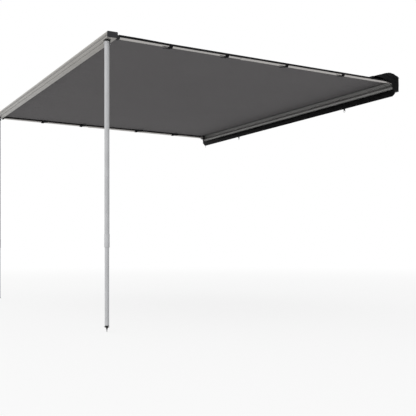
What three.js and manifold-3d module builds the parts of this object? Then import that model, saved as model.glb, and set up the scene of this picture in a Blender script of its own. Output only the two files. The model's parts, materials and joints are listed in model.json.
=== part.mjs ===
// Side awning for a vehicle, folded out. Millimetres, +Z up.
// +X runs along the vehicle to its rear, +Y points at the vehicle, and -Y out to the lead bar.
// The origin is the centre of the flat land on the back of the backing plate.

import * as THREE from "three";
import { mergeVertices } from "three/addons/utils/BufferGeometryUtils.js";
import Module from "manifold-3d";

const wasm = await Module();
wasm.setup();

// Driving sizes
const awningLength = 2500; // of the lead bar and of the case behind it
const reach = 2100; // back plane to the outer face of the lead bar
const barClearHeight = 1567; // ground to the underside of the lead bar
const slotDrop = 5; // the bar's underside lies this far below the fabric slot of the case

// Clearances
const seatGap = 0.3; // between pieces that touch
const slideGap = 0.3; // round a tube in a tube
const swingGap = 0.6; // past a piece that swings
const cut = 2; // overrun of a cutting tool past a face

// Tube stock of the arms and of the poles
const tubeWall = 1.2;
const collarWall = 0.9;
const armTube = tubeStock(9.5);
const poleTube = tubeStock(13.5);
const plugDepth = 32;
const guideLength = 20;

// Backing plate, an aluminium extrusion
const plate = {
  bottom: -10,
  top: 76,
  landTop: 10,
  landProud: 2,
  web: 8,
  slotBossDepth: 22,
  slotBossHeight: 14,
  bandDepth: 18,
  bandHeight: 16,
  grooveDepth: 10,
  grooveHeight: 7,
  ridgeDepth: 24,
  ridgeHeight: 25,
  flapBossDepth: 18,
  flapBossHeight: 11,
  chamberWall: 2.4,
};
const kederBore = 4.2;
const kederMouth = 3;
const kederRadius = 3.5;
const kederLip = 2.8;
const bagKederBore = 3.2;
const bagKederRadius = 2.7;
const bagKederInset = 5;
const bagKederDrop = 6;

// Case end caps, with the ears that hold the arms
const capThickness = 12;
const capFront = 30;
const capCorner = 6;
const earThickness = 5;
const armPivotInset = 14; // from the end of the lead bar
const armPivotForward = 45; // in front of the back plane
const pinRadius = 4;
const hingeRadius = 12;
const hingeHeight = 20;
const hingeNeck = 18;
const pinHeadHeight = 2.5;
const pinHeadRadius = 7;

// Lead bar, an aluminium extrusion
const bar = {
  depth: 60,
  height: 31,
  corner: 2,
  grooveFrom: 13,
  grooveHeight: 5,
  grooveDepth: 2.5,
  lowGrooveFrom: 15,
  lowGrooveWidth: 5,
  lowGrooveDepth: 1.8,
  wall: 3,
  rib: 3,
  slotHeight: 22,
  slotBlock: 13,
  capThickness: 6,
  capPlug: 14,
  screwInset: 34,
  screwRadius: 2.4,
};

// Cradle on the bar's inner face that takes the arm's tip
const cradle = { width: 24, depth: 10, height: 24, wall: 5 };
const tongue = { width: 12, length: 8, height: 8 };
const tipCollar = 4;
const armAxisOverBar = 6; // arm axis above the bar's underside at the tip
const armAxisUnderSlot = 20.5; // arm axis below the fabric slot at the root
const armStepShare = 0.6; // where the outer tube of an arm ends
const armCollarLength = 30;
const armOverlap = 240; // inner tube inside the outer one, pulled out

// Pole bracket and pole
const poleInset = 56;
const poleFromFace = 20;
const bracket = { plate: 1.8, width: 33, front: 14, cheek: 3, cheekRadius: 6.5 };
const polePinRadius = 2.5;
const poleRise = 10; // top of the tube above its pivot
const poleCollarTop = 526; // above the ground
const poleCollarLength = 72;
const poleOverlapInCollar = 52;
const poleOverlap = 547; // at the height it is set up
const footClearance = 36; // ground to the end of the lower tube
const footWing = { radius: 17, rise: 6, thickness: 3, width: 6, drop: 15, hub: 6 };
const spikeRadius = 4.2;
const spikeTipRadius = 1.2;

// Canopy, hems and straps
const clothThickness = 1.2;
const hemFlat = 13; // from the arm's axis inwards to the edge of the sheet
const hemThickness = 2;
const hemWrap = 1.5; // angle over the outer side of the tube, in radians from its top
const strapThickness = 1.2;
const strapWidth = 24;
const strapTail = 36;
const strapTailWidth = 20;
const strapTailDrop = 5;
const hemLift = slideGap + strapThickness + seatGap;
const edgeLiftWidth = 60;
const edgeRamp = 60; // length over which the sheet's edges come down to the arms

// Bag
const bagThickness = 2.5;
const flapReach = 240;
const flapRise = 26;
const flapCrestShare = 0.38;
const flapShoulderShare = 0.62;
const flapHang = 49;
const flapBulge = 4;
const flapEndRise = 16;
const flapEndRun = 20;
const bagEndDepth = 44;
const bagEndBack = 9; // from the back plane
const bagEndTop = 10; // above the rail

// Roof brackets and bolts
const roofBracketPlace = 700;
const roofBracket = { width: 50, thickness: 5, leg: 45, foot: 68, bend: 5, slotLength: 26, slotWidth: 9 };
const boltRadius = 4;
const boltHeadRadius = 7.5;
const boltHeadHeight = 5.3;
const boltDepth = 16;
const washerRadius = 8.5;
const washerThickness = 1.6;
const boltHeight = 26.5;

// Roll straps with rings, and the zip slider
const rollStrap = { width: 20, thickness: 1.6, tail: 6, loopWidth: 8 };
const ringRadius = 8;
const ringWire = 1.6;
const ringPlay = 1.1;
const zipInset = 42; // from the front end of the case
const slider = { length: 12, wall: 1.6, height: 9, pull: 16, pullWidth: 7, pullThickness: 1.6 };

const roundSteps = 26;
const smallSteps = 14;
const wireSteps = 8;

// The radii of two tubes that telescope, of the twist collar on them, and of a plug in each.
function tubeStock(outer) {
  const inner = outer - tubeWall - slideGap;
  return {
    outer,
    inner,
    collar: outer + slideGap + collarWall,
    outerPlug: outer - tubeWall - seatGap,
    innerPlug: inner - tubeWall - seatGap,
  };
}

// Worked out places
const halfLength = awningLength / 2;
const slotZ = plate.top - plate.slotBossHeight / 2;
const barZ = slotZ - slotDrop;
const groundZ = barZ - barClearHeight;
const barInnerY = -reach + bar.depth;
const zipPlace = -(halfLength - zipInset);
const armX = halfLength - armPivotInset;
const armRootZ = slotZ - armAxisUnderSlot;
const armTipZ = barZ + armAxisOverBar;
const armRun = -armPivotForward - barInnerY;
const armTilt = Math.atan2(armRootZ - armTipZ, armRun);
const armReach = Math.hypot(armRun, armRootZ - armTipZ); // pivot to the bar's inner face along the arm
const armTubeEnd = armReach - cradle.depth - 3 * seatGap - tipCollar;
const armOuterEnd = armStepShare * armReach;
const armInnerStart = armOuterEnd - armOverlap;
const poleX = halfLength - poleInset;
const poleY = -reach + poleFromFace;
const poleCorner = Math.hypot(poleRise, poleTube.outer);
const polePivotDrop = bracket.plate + poleCorner + swingGap;
const polePivotZ = barZ - polePivotDrop;
const poleLength = polePivotZ - groundZ; // pivot to the tip of the spike
const poleOuterEnd = poleLength - poleCollarTop + poleOverlapInCollar;
const poleLowerEnd = poleLength - footClearance;
const poleInnerStart = poleOuterEnd - poleOverlap;
const ridgeBottom =
  plate.top - plate.slotBossHeight - plate.bandHeight - plate.grooveHeight - plate.ridgeHeight;
const flapSlotZ = ridgeBottom - plate.flapBossHeight / 2;

// Materials
function finish(color, roughness, metalness) {
  return new THREE.MeshStandardMaterial({ color, roughness, metalness });
}

const barSilver = finish(0xa5a09b, 0.4, 0.9);
const tubeSilver = finish(0xc4c6c9, 0.35, 0.9);
const plateGrey = finish(0x66665f, 0.5, 0.6);
const blackPlastic = finish(0x1b1b1c, 0.6, 0);
const capGrey = finish(0x37373a, 0.55, 0);
const steel = finish(0xb0b2b4, 0.35, 1);
const canopyCloth = finish(0x555354, 0.9, 0);
const blackWebbing = finish(0x161617, 0.85, 0);
const bagVinyl = finish(0x141415, 0.6, 0);

const awning = new THREE.Group();

// Solid helpers

function toSolid(geometry) {
  const bare = geometry.clone();
  bare.deleteAttribute("normal");
  bare.deleteAttribute("uv");
  const merged = mergeVertices(bare, 1e-4);
  const mesh = new wasm.Mesh({
    numProp: 3,
    vertProperties: new Float32Array(merged.attributes.position.array),
    triVerts: new Uint32Array(merged.index.array),
  });
  return new wasm.Manifold(mesh);
}

function toGeometry(solid) {
  const mesh = solid.getMesh();
  const geometry = new THREE.BufferGeometry();
  geometry.setAttribute("position", new THREE.BufferAttribute(new Float32Array(mesh.vertProperties), 3));
  geometry.setIndex(new THREE.BufferAttribute(new Uint32Array(mesh.triVerts), 1));
  geometry.computeVertexNormals();
  return geometry;
}

function union(...pieces) {
  return toGeometry(pieces.map(toSolid).reduce((all, piece) => all.add(piece)));
}

function subtract(body, ...tools) {
  return toGeometry(tools.map(toSolid).reduce((left, tool) => left.subtract(tool), toSolid(body)));
}

function add(parent, name, geometry, material) {
  const mesh = new THREE.Mesh(geometry, material);
  mesh.name = name;
  parent.add(mesh);
  return mesh;
}

// An outline in Y and Z, extruded along X between two places in either order.
function alongX(shape, x0, x1, curveSegments = smallSteps) {
  const depth = Math.abs(x1 - x0);
  const geometry = new THREE.ExtrudeGeometry(shape, { depth, bevelEnabled: false, curveSegments });
  const basis = new THREE.Matrix4().makeBasis(
    new THREE.Vector3(0, 1, 0),
    new THREE.Vector3(0, 0, 1),
    new THREE.Vector3(1, 0, 0),
  );
  return geometry.applyMatrix4(basis).translate(Math.min(x0, x1), 0, 0);
}

// An outline in X and Z, extruded along -Y from y1 down to y0.
function alongY(shape, y0, y1, curveSegments = smallSteps) {
  const geometry = new THREE.ExtrudeGeometry(shape, { depth: y1 - y0, bevelEnabled: false, curveSegments });
  return geometry.rotateX(Math.PI / 2).translate(0, y1, 0);
}

// An outline in X and Y, extruded along Z from z0 to z1.
function alongZ(shape, z0, z1, curveSegments = smallSteps) {
  const geometry = new THREE.ExtrudeGeometry(shape, { depth: z1 - z0, bevelEnabled: false, curveSegments });
  return geometry.translate(0, 0, z0);
}

// The two places along an axis may come in either order.
function box(x0, x1, y0, y1, z0, z1) {
  const geometry = new THREE.BoxGeometry(Math.abs(x1 - x0), Math.abs(y1 - y0), Math.abs(z1 - z0));
  return geometry.translate((x0 + x1) / 2, (y0 + y1) / 2, (z0 + z1) / 2);
}

// Cylinders along each axis, from one coordinate to the other.
function rodX(radius, x0, x1, y, z, steps = roundSteps) {
  const geometry = new THREE.CylinderGeometry(radius, radius, x1 - x0, steps);
  return geometry.rotateZ(Math.PI / 2).translate((x0 + x1) / 2, y, z);
}

function rodY(radius, y0, y1, x = 0, z = 0, steps = roundSteps) {
  return new THREE.CylinderGeometry(radius, radius, y1 - y0, steps).translate(x, (y0 + y1) / 2, z);
}

function rodZ(radius, z0, z1, x = 0, y = 0, steps = roundSteps) {
  const geometry = new THREE.CylinderGeometry(radius, radius, z1 - z0, steps);
  return geometry.rotateX(Math.PI / 2).translate(x, y, (z0 + z1) / 2);
}

// A ring-shaped profile turned about the Y axis; points are [radius, y].
function turned(points, steps = roundSteps) {
  const profile = points.map(([radius, y]) => new THREE.Vector2(radius, y));
  return new THREE.LatheGeometry(profile, steps);
}

function tubeY(outer, inner, y0, y1) {
  return turned([
    [inner, y0],
    [outer, y0],
    [outer, y1],
    [inner, y1],
    [inner, y0],
  ]);
}

function rectangle(a0, a1, b0, b1) {
  const shape = new THREE.Shape();
  shape.moveTo(a0, b0);
  shape.lineTo(a1, b0);
  shape.lineTo(a1, b1);
  shape.lineTo(a0, b1);
  shape.closePath();
  return shape;
}

function chamfered(a0, a1, b0, b1, c) {
  const shape = new THREE.Shape();
  shape.moveTo(a0 + c, b0);
  shape.lineTo(a1 - c, b0);
  shape.lineTo(a1, b0 + c);
  shape.lineTo(a1, b1 - c);
  shape.lineTo(a1 - c, b1);
  shape.lineTo(a0 + c, b1);
  shape.lineTo(a0, b1 - c);
  shape.lineTo(a0, b0 + c);
  shape.closePath();
  return shape;
}

// Straight along a run, then a half circle about the end point.
function tonguePlate(width, length, steps = smallSteps) {
  const shape = new THREE.Shape();
  shape.moveTo(-width / 2, -length);
  shape.lineTo(width / 2, -length);
  shape.lineTo(width / 2, 0);
  for (let i = 1; i < steps; i += 1) {
    const angle = (i * Math.PI) / steps;
    shape.lineTo((width / 2) * Math.cos(angle), (width / 2) * Math.sin(angle));
  }
  shape.lineTo(-width / 2, 0);
  shape.closePath();
  return shape;
}

// The two ends of the awning mirror each other: side is +1 at the rear and -1 at the front.
// The hem straps are tied by hand, at shares of the way from the bar to the case.
const ends = [
  {
    name: "rear",
    side: 1,
    bagOverhang: 14,
    bagEndDrop: 90,
    rollStrapInset: 502,
    strapPlaceShares: [0.162, 0.347, 0.561, 0.784],
  },
  {
    name: "front",
    side: -1,
    bagOverhang: 6,
    bagEndDrop: 40,
    rollStrapInset: 622,
    strapPlaceShares: [0.179, 0.36, 0.636, 0.833],
  },
];

// Case

function backingPlateOutline() {
  const bandTop = plate.top - plate.slotBossHeight;
  const grooveTop = bandTop - plate.bandHeight;
  const ridgeTop = grooveTop - plate.grooveHeight;
  const ridgeMiddle = (ridgeTop + ridgeBottom) / 2;
  const ridgeStart = plate.grooveDepth + kederLip;
  const flapBottom = ridgeBottom - plate.flapBossHeight;
  const shape = new THREE.Shape();
  shape.moveTo(0, plate.bottom);
  shape.lineTo(0, plate.landTop);
  shape.lineTo(-plate.landProud, plate.landTop);
  shape.lineTo(-plate.landProud, plate.top);
  shape.lineTo(-plate.slotBossDepth + bar.corner, plate.top);
  shape.lineTo(-plate.slotBossDepth, plate.top - bar.corner);
  shape.lineTo(-plate.slotBossDepth, bandTop);
  shape.lineTo(-plate.bandDepth, bandTop);
  shape.lineTo(-plate.bandDepth, grooveTop + bar.corner);
  shape.lineTo(-plate.bandDepth + bar.corner, grooveTop);
  shape.lineTo(-plate.grooveDepth, grooveTop);
  shape.lineTo(-plate.grooveDepth, ridgeTop);
  for (let i = 0; i <= smallSteps; i += 1) {
    const angle = Math.PI / 2 - (i * Math.PI) / smallSteps;
    const bulge = (plate.ridgeDepth - ridgeStart) * Math.cos(angle);
    shape.lineTo(-ridgeStart - bulge, ridgeMiddle + (plate.ridgeHeight / 2) * Math.sin(angle));
  }
  shape.lineTo(-plate.flapBossDepth, ridgeBottom);
  shape.lineTo(-plate.flapBossDepth, flapBottom);
  shape.lineTo(-plate.web, flapBottom);
  shape.lineTo(-plate.web, plate.bottom);
  shape.closePath();
  return shape;
}

// A groove for a welt: a round bore with a narrower mouth in the face at mouthY.
function weltGroove(over, beadY, mouthY, z) {
  const outside = mouthY + Math.sign(mouthY - beadY) * cut;
  return [
    rodX(kederBore, -over, over, beadY, z, smallSteps),
    box(-over, over, beadY, outside, z - kederMouth / 2, z + kederMouth / 2),
  ];
}

function backingPlate() {
  const end = halfLength - capThickness - seatGap;
  const over = end + cut;
  const weltInset = kederLip + kederBore;
  const bagY = -plate.landProud - bagKederInset;
  const bagZ = plate.top - bagKederDrop;
  const bandTop = plate.top - plate.slotBossHeight;
  const grooveTop = bandTop - plate.bandHeight;
  const ridgeTop = grooveTop - plate.grooveHeight;
  const wall = plate.chamberWall;
  const ridgeFront = -plate.ridgeDepth + 3 * wall;
  const bolts = ends.map(({ side }) =>
    rodY(boltRadius + seatGap, -boltDepth, cut, side * roofBracketPlace, boltHeight, smallSteps),
  );
  return subtract(
    alongX(backingPlateOutline(), -end, end),
    ...weltGroove(over, -plate.slotBossDepth + weltInset, -plate.slotBossDepth, slotZ),
    ...weltGroove(over, -plate.flapBossDepth + weltInset, -plate.flapBossDepth, flapSlotZ),
    rodX(bagKederBore, -over, over, bagY, bagZ, smallSteps),
    box(-over, over, bagY - kederMouth / 2, bagY + kederMouth / 2, bagZ, plate.top + cut),
    // Hollow chambers behind the flat band and behind the round ridge
    box(-over, over, -plate.bandDepth + wall, -plate.landProud - wall, grooveTop + wall, bandTop - wall),
    box(-over, over, ridgeFront, -boltDepth - seatGap, ridgeBottom + 2 * wall, ridgeTop - 2 * wall),
    ...bolts,
  );
}

// The frame of an arm: origin on its pivot, -Y along the arm, +Z square to it.
function armFrame(side) {
  const frame = new THREE.Group();
  frame.position.set(side * armX, -armPivotForward, armRootZ);
  frame.rotation.x = armTilt;
  frame.updateMatrix();
  return frame;
}

function earPair(side) {
  const reachToCap = armPivotForward - capFront + cut;
  const bore = rodZ(pinRadius + seatGap, -hingeHeight, hingeHeight, 0, 0, smallSteps);
  return [1, -1].map((level) => {
    const near = level * (hingeHeight / 2 + seatGap);
    const middle = near + (level * earThickness) / 2;
    const ear = alongZ(tonguePlate(2 * hingeRadius, reachToCap), 0, earThickness);
    ear.rotateZ(Math.PI).translate(0, 0, middle - earThickness / 2);
    return subtract(ear, bore).applyMatrix4(armFrame(side).matrix);
  });
}

// A moulded cap over the rail's end, with a flange in front of the rail that carries the ears.
function caseEndCap(side) {
  const inner = halfLength - capThickness;
  const earSpan = hingeHeight / 2 + earThickness + cut;
  const flangeLow = armRootZ - earSpan;
  const flangeBack = -plate.ridgeDepth - 2 * seatGap;
  const shape = new THREE.Shape();
  shape.moveTo(0, plate.bottom);
  shape.lineTo(0, plate.top);
  shape.lineTo(-capFront + capCorner, plate.top);
  shape.lineTo(-capFront, plate.top - capCorner);
  shape.lineTo(-capFront, flangeLow);
  shape.lineTo(flangeBack, ridgeBottom);
  shape.lineTo(flangeBack, plate.bottom);
  shape.closePath();
  const flangeX = armX - hingeRadius;
  return union(
    alongX(shape, side * inner, side * halfLength),
    box(side * flangeX, side * (inner + cut), -capFront, flangeBack, flangeLow, armRootZ + earSpan),
    ...earPair(side),
  );
}

function armPin() {
  const earTop = hingeHeight / 2 + seatGap + earThickness + seatGap;
  return union(
    rodZ(pinRadius, -earTop - pinHeadHeight, earTop + pinHeadHeight / 2, 0, 0, smallSteps),
    rodZ(pinHeadRadius, earTop, earTop + pinHeadHeight, 0, 0, smallSteps),
    rodZ(pinHeadRadius, -earTop - pinHeadHeight, -earTop, 0, 0, smallSteps),
  );
}

function roofBracketShape(side) {
  const { width, thickness, leg, foot, bend, slotLength, slotWidth } = roofBracket;
  const y0 = -plate.landProud + seatGap;
  const z0 = plate.landTop + seatGap;
  const bendY = y0 + thickness + bend;
  const bendZ = z0 + leg - thickness - bend;
  const shape = new THREE.Shape();
  shape.moveTo(y0, z0);
  shape.lineTo(y0 + thickness, z0);
  shape.lineTo(y0 + thickness, bendZ);
  shape.absarc(bendY, bendZ, bend, Math.PI, Math.PI / 2, true);
  shape.lineTo(y0 + foot, z0 + leg - thickness);
  shape.lineTo(y0 + foot, z0 + leg);
  shape.lineTo(bendY, z0 + leg);
  shape.absarc(bendY, bendZ, bend + thickness, Math.PI / 2, Math.PI, false);
  shape.closePath();
  const x = side * roofBracketPlace;
  const slotY = y0 + foot - slotLength / 2 - slotWidth;
  const slot = new THREE.Shape();
  slot.absarc(x, slotY + (slotLength - slotWidth) / 2, slotWidth / 2, 0, Math.PI, false);
  slot.absarc(x, slotY - (slotLength - slotWidth) / 2, slotWidth / 2, Math.PI, 2 * Math.PI, false);
  slot.closePath();
  return subtract(
    alongX(shape, x - width / 2, x + width / 2, smallSteps / 2),
    alongZ(slot, z0, z0 + leg + cut, smallSteps / 2),
    rodY(boltRadius + seatGap, y0 - cut, y0 + thickness + cut, x, boltHeight, smallSteps),
  );
}

function bracketBolt(side) {
  const x = side * roofBracketPlace;
  const face = -plate.landProud + seatGap + roofBracket.thickness + seatGap;
  const head = new THREE.CylinderGeometry(boltHeadRadius, boltHeadRadius, boltHeadHeight, 6);
  head.translate(x, face + washerThickness + boltHeadHeight / 2, boltHeight);
  return union(
    rodY(boltRadius, -boltDepth + seatGap, face + washerThickness, x, boltHeight, smallSteps),
    rodY(washerRadius, face, face + washerThickness, x, boltHeight, smallSteps),
    head,
  );
}

// Bag

function offsetSheet(points, thickness) {
  const curve = new THREE.CatmullRomCurve3(points.map(([y, z]) => new THREE.Vector3(0, y, z)));
  const middle = curve.getPoints(smallSteps);
  const offset = (sign) =>
    middle.map((point, i) => {
      const tangent = curve.getTangent(i / smallSteps);
      const half = (sign * thickness) / 2;
      return new THREE.Vector2(point.y - tangent.z * half, point.z + tangent.y * half);
    });
  return new THREE.Shape([...offset(1), ...offset(-1).reverse()]);
}

// The upper flap rises over the rail and lies back on the canopy. It closes the case at both ends.
function bagUpperFlap() {
  const rootY = -plate.landProud - bagKederInset;
  const rootZ = plate.top - bagKederDrop;
  const crest = plate.top + flapRise;
  const crestY = -flapReach * flapCrestShare;
  const neck = clothThickness / 2;
  const slotEnd = halfLength - capThickness - 2 * seatGap;
  const rise = plate.top + 2 * bagThickness;
  const edge = canopyHeight(0, -flapReach) + (clothThickness + bagThickness) / 2 + swingGap;
  const sheet = offsetSheet(
    [
      [rootY, rise],
      [(rootY + crestY) / 2, plate.top + flapRise * flapShoulderShare],
      [crestY, crest],
      [(crestY - flapReach) / 2, (crest + edge) / 2],
      [-flapReach, edge],
    ],
    bagThickness,
  );
  const top = plate.top + bagEndTop;
  const front = -bagEndBack - bagEndDepth;
  const [rearEnd, frontEnd] = ends.map(({ side, bagOverhang }) => side * (halfLength + bagOverhang));
  const walls = ends.map(({ side, bagOverhang, bagEndDrop }) => {
    const outline = chamfered(front, -bagEndBack, top - bagEndDrop, top, bagEndDepth / 5);
    return alongX(outline, side * (halfLength + seatGap), side * (halfLength + bagOverhang));
  });
  return union(
    rodX(bagKederRadius, -slotEnd, slotEnd, rootY, rootZ, smallSteps),
    box(-slotEnd, slotEnd, rootY - neck, rootY + neck, rootZ, rise + neck),
    alongX(sheet, frontEnd, rearEnd),
    ...walls,
  );
}

function bagLowerFlap() {
  const end = halfLength - capThickness - 2 * seatGap;
  const beadY = -plate.flapBossDepth + kederLip + kederBore;
  const faceY = -plate.flapBossDepth - seatGap;
  const neck = clothThickness / 2;
  const top = ridgeBottom - seatGap;
  const bottom = top - flapHang;
  const sheet = offsetSheet(
    [
      [faceY - bagThickness / 2, top],
      [faceY - bagThickness / 2 - flapBulge / 2, top - flapHang / 3],
      [faceY - bagThickness / 2 - flapBulge / 2, bottom + flapHang / 3],
      [faceY - bagThickness / 2, bottom],
    ],
    bagThickness,
  );
  const corners = ends.map(({ side }) => {
    const corner = new THREE.Shape();
    corner.moveTo(side * (end - flapEndRun), bottom);
    corner.lineTo(side * (end + cut), bottom + flapEndRise);
    corner.lineTo(side * (end + cut), bottom - flapEndRise);
    corner.lineTo(side * (end - flapEndRun), bottom - flapEndRise);
    corner.closePath();
    return alongY(corner, faceY - flapHang, 0);
  });
  const flap = union(
    rodX(kederRadius, -end, end, beadY, flapSlotZ, smallSteps),
    box(-end, end, faceY - bagThickness / 2, beadY, flapSlotZ - neck, flapSlotZ + neck),
    alongX(sheet, -end, end),
  );
  return subtract(flap, ...corners);
}

// The tab hangs behind the path of the zip slider.
function rollStrapY() {
  return -plate.flapBossDepth + seatGap + slider.wall + swingGap;
}

// A short webbing tab behind the lower flap, with a loop at its end that holds a ring.
function rollStrapTab(x) {
  const y0 = rollStrapY();
  const flapBottom = ridgeBottom - seatGap - flapHang;
  const boreRadius = ringWire + ringPlay;
  const loopZ = flapBottom - rollStrap.tail;
  const loopRadius = boreRadius + rollStrap.thickness;
  const loopY = y0 + loopRadius - rollStrap.thickness / 2;
  const half = rollStrap.width / 2;
  const narrow = rollStrap.loopWidth / 2;
  const top = ridgeBottom - plate.flapBossHeight - seatGap;
  const tab = union(
    box(x - half, x + half, y0, y0 + rollStrap.thickness, loopZ + 2 * loopRadius, top),
    box(x - narrow, x + narrow, y0, y0 + rollStrap.thickness, loopZ, loopZ + 3 * loopRadius),
    rodX(loopRadius, x - narrow, x + narrow, loopY, loopZ, smallSteps),
  );
  return subtract(tab, rodX(boreRadius, x - half, x + half, loopY, loopZ, smallSteps));
}

function strapRing(x) {
  const flapBottom = ridgeBottom - seatGap - flapHang;
  const loopRadius = ringWire + ringPlay + rollStrap.thickness;
  const y = rollStrapY() + loopRadius - rollStrap.thickness / 2;
  const sag = ringRadius - Math.sqrt(ringRadius ** 2 - (rollStrap.loopWidth / 2) ** 2);
  const z = flapBottom - rollStrap.tail - ringRadius + sag / 2;
  const ring = new THREE.TorusGeometry(ringRadius, ringWire, wireSteps, roundSteps);
  return ring.rotateX(Math.PI / 2).translate(x, y, z);
}

function zipSlider() {
  const { length, wall, height, pull, pullWidth, pullThickness } = slider;
  const bottom = ridgeBottom - seatGap - flapHang - seatGap;
  const middle = -plate.flapBossDepth - seatGap - bagThickness / 2;
  const half = bagThickness / 2 + 2 * seatGap;
  const x0 = zipPlace - length / 2;
  const x1 = zipPlace + length / 2;
  const low = bottom - wall;
  const high = bottom + height / 3;
  const leaf = (near, far) => box(x0, x1, middle + near, middle + far, low, high);
  const tab = box(-pullWidth / 2, pullWidth / 2, -pullThickness / 2, pullThickness / 2, -pull, wall / 2);
  return union(
    box(x0, x1, middle - half - wall, middle + half + wall, low, bottom),
    leaf(-half - wall, -half),
    leaf(half, half + wall),
    tab.translate(zipPlace, middle, low),
  );
}

// Telescopic tubes. They run along -Y from their own pivot.

function outerTube(stock, from, to) {
  return tubeY(stock.outer, stock.outer - tubeWall, -to, -from);
}

function innerTube(stock, from, to) {
  return tubeY(stock.inner, stock.inner - tubeWall, -to, -from);
}

// The twist collar grips the inner tube below the mouth of the outer one.
function lockCollar(stock, outerEnd, from, to) {
  const grip = stock.inner + slideGap;
  const overTube = stock.outer + slideGap;
  const bevel = collarWall;
  return turned([
    [grip, -to],
    [stock.collar - bevel, -to],
    [stock.collar, -to + bevel],
    [stock.collar, -from - bevel],
    [stock.collar - bevel / 2, -from],
    [overTube, -from],
    [overTube, -outerEnd - seatGap],
    [grip, -outerEnd - seatGap],
    [grip, -to],
  ]);
}

// The guide plug rides in the outer tube on the hidden end of the inner one.
function guidePlug(stock, end) {
  return union(
    rodY(stock.inner, -end + seatGap, -end + guideLength, 0, 0, smallSteps),
    rodY(stock.innerPlug, -end - guideLength, -end + 2 * seatGap, 0, 0, smallSteps),
  );
}

// Arms

function armHingeBlock() {
  const neckWidth = hingeRadius - cut;
  const neckHeight = hingeHeight / 2 - cut;
  const neck = rectangle(-neckWidth, neckWidth, -neckHeight, neckHeight);
  return subtract(
    union(
      rodZ(hingeRadius, -hingeHeight / 2, hingeHeight / 2),
      alongY(neck, -hingeNeck, 0),
      rodY(armTube.outer, -hingeNeck + seatGap, -hingeRadius - cut / 2),
      rodY(armTube.outerPlug, -hingeNeck - plugDepth, -hingeNeck + cut),
    ),
    rodZ(pinRadius + seatGap, -hingeHeight, hingeHeight, 0, 0, smallSteps),
  );
}

// The tip plug closes the inner tube and reaches into the cradle with a flat tongue.
function armTipPlug() {
  const collarEnd = armTubeEnd + seatGap + tipCollar;
  const flatWidth = tongue.width / 2;
  const flatHeight = tongue.height / 2;
  const flat = chamfered(-flatWidth, flatWidth, -flatHeight, flatHeight, cut / 2);
  return union(
    rodY(armTube.outer - seatGap, -collarEnd, -armTubeEnd - seatGap),
    rodY(armTube.innerPlug, -armTubeEnd - cut, -armTubeEnd + plugDepth),
    alongY(flat, -collarEnd - tongue.length, -collarEnd + cut),
  );
}

function armPieces({ name, side, strapPlaceShares }) {
  const frame = armFrame(side);
  add(frame, `arm_pin_${name}`, armPin(), steel);
  add(frame, `arm_hinge_block_${name}`, armHingeBlock(), barSilver);
  add(frame, `arm_outer_tube_${name}`, outerTube(armTube, hingeNeck, armOuterEnd), barSilver);
  const collarFrom = armOuterEnd - (armCollarLength * 2) / 3;
  const collar = lockCollar(armTube, armOuterEnd, collarFrom, collarFrom + armCollarLength);
  add(frame, `arm_lock_collar_${name}`, collar, barSilver);
  add(frame, `arm_inner_tube_${name}`, innerTube(armTube, armInnerStart, armTubeEnd), barSilver);
  add(frame, `arm_guide_plug_${name}`, guidePlug(armTube, armInnerStart), blackPlastic);
  add(frame, `arm_tip_plug_${name}`, armTipPlug(), blackPlastic);
  add(frame, `arm_cradle_${name}`, armCradle(side), blackPlastic);
  add(frame, `canopy_hem_${name}`, canopyHem(side), blackWebbing);
  strapPlaceShares.forEach((share, i) => {
    add(frame, `hem_strap_${name}_${i + 1}`, hemStrap(side, share), blackWebbing);
  });
  return frame;
}

// The cradle is open on the inner side, so the arm's tip leaves it when the arm folds in.
function armCradle(side) {
  const front = -armReach + cradle.depth + seatGap;
  const back = -armReach + 3 * seatGap;
  const halfWidth = cradle.width / 2;
  const shape = chamfered(-halfWidth, halfWidth, -cradle.height / 2, cradle.height / 2, cut);
  const slotHalf = tongue.height / 2 + swingGap;
  const closed = side * (halfWidth - cradle.wall);
  const open = -side * (halfWidth + cut);
  return subtract(
    alongY(shape, back, front),
    box(closed, open, back - cut, front + cut, -slotHalf, slotHalf),
  );
}

// Lead bar

function leadBarOutline() {
  const { depth, height, corner, grooveFrom, grooveHeight, grooveDepth } = bar;
  const { lowGrooveFrom, lowGrooveWidth, lowGrooveDepth } = bar;
  const shape = new THREE.Shape();
  shape.moveTo(corner, 0);
  shape.lineTo(lowGrooveFrom, 0);
  shape.lineTo(lowGrooveFrom, lowGrooveDepth);
  shape.lineTo(lowGrooveFrom + lowGrooveWidth, lowGrooveDepth);
  shape.lineTo(lowGrooveFrom + lowGrooveWidth, 0);
  shape.lineTo(depth - corner, 0);
  shape.lineTo(depth, corner);
  shape.lineTo(depth, height - 2 * corner);
  shape.lineTo(depth - 2 * corner, height);
  shape.lineTo(corner, height);
  shape.lineTo(0, height - corner);
  shape.lineTo(0, grooveFrom + grooveHeight + corner / 2);
  shape.lineTo(grooveDepth, grooveFrom + grooveHeight);
  shape.lineTo(grooveDepth, grooveFrom);
  shape.lineTo(0, grooveFrom - corner / 2);
  shape.lineTo(0, corner);
  shape.closePath();
  return shape;
}

// The two chambers run the whole length, and the end caps plug into them.
function barChambers() {
  const first = bar.grooveDepth + bar.wall;
  const last = bar.depth - bar.slotBlock;
  const middle = (first + last) / 2;
  return [
    [first, middle - bar.rib / 2],
    [middle + bar.rib / 2, last],
  ].map(([y0, y1]) => ({ y0, y1, z0: bar.lowGrooveDepth + bar.wall, z1: bar.height - bar.wall }));
}

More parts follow.
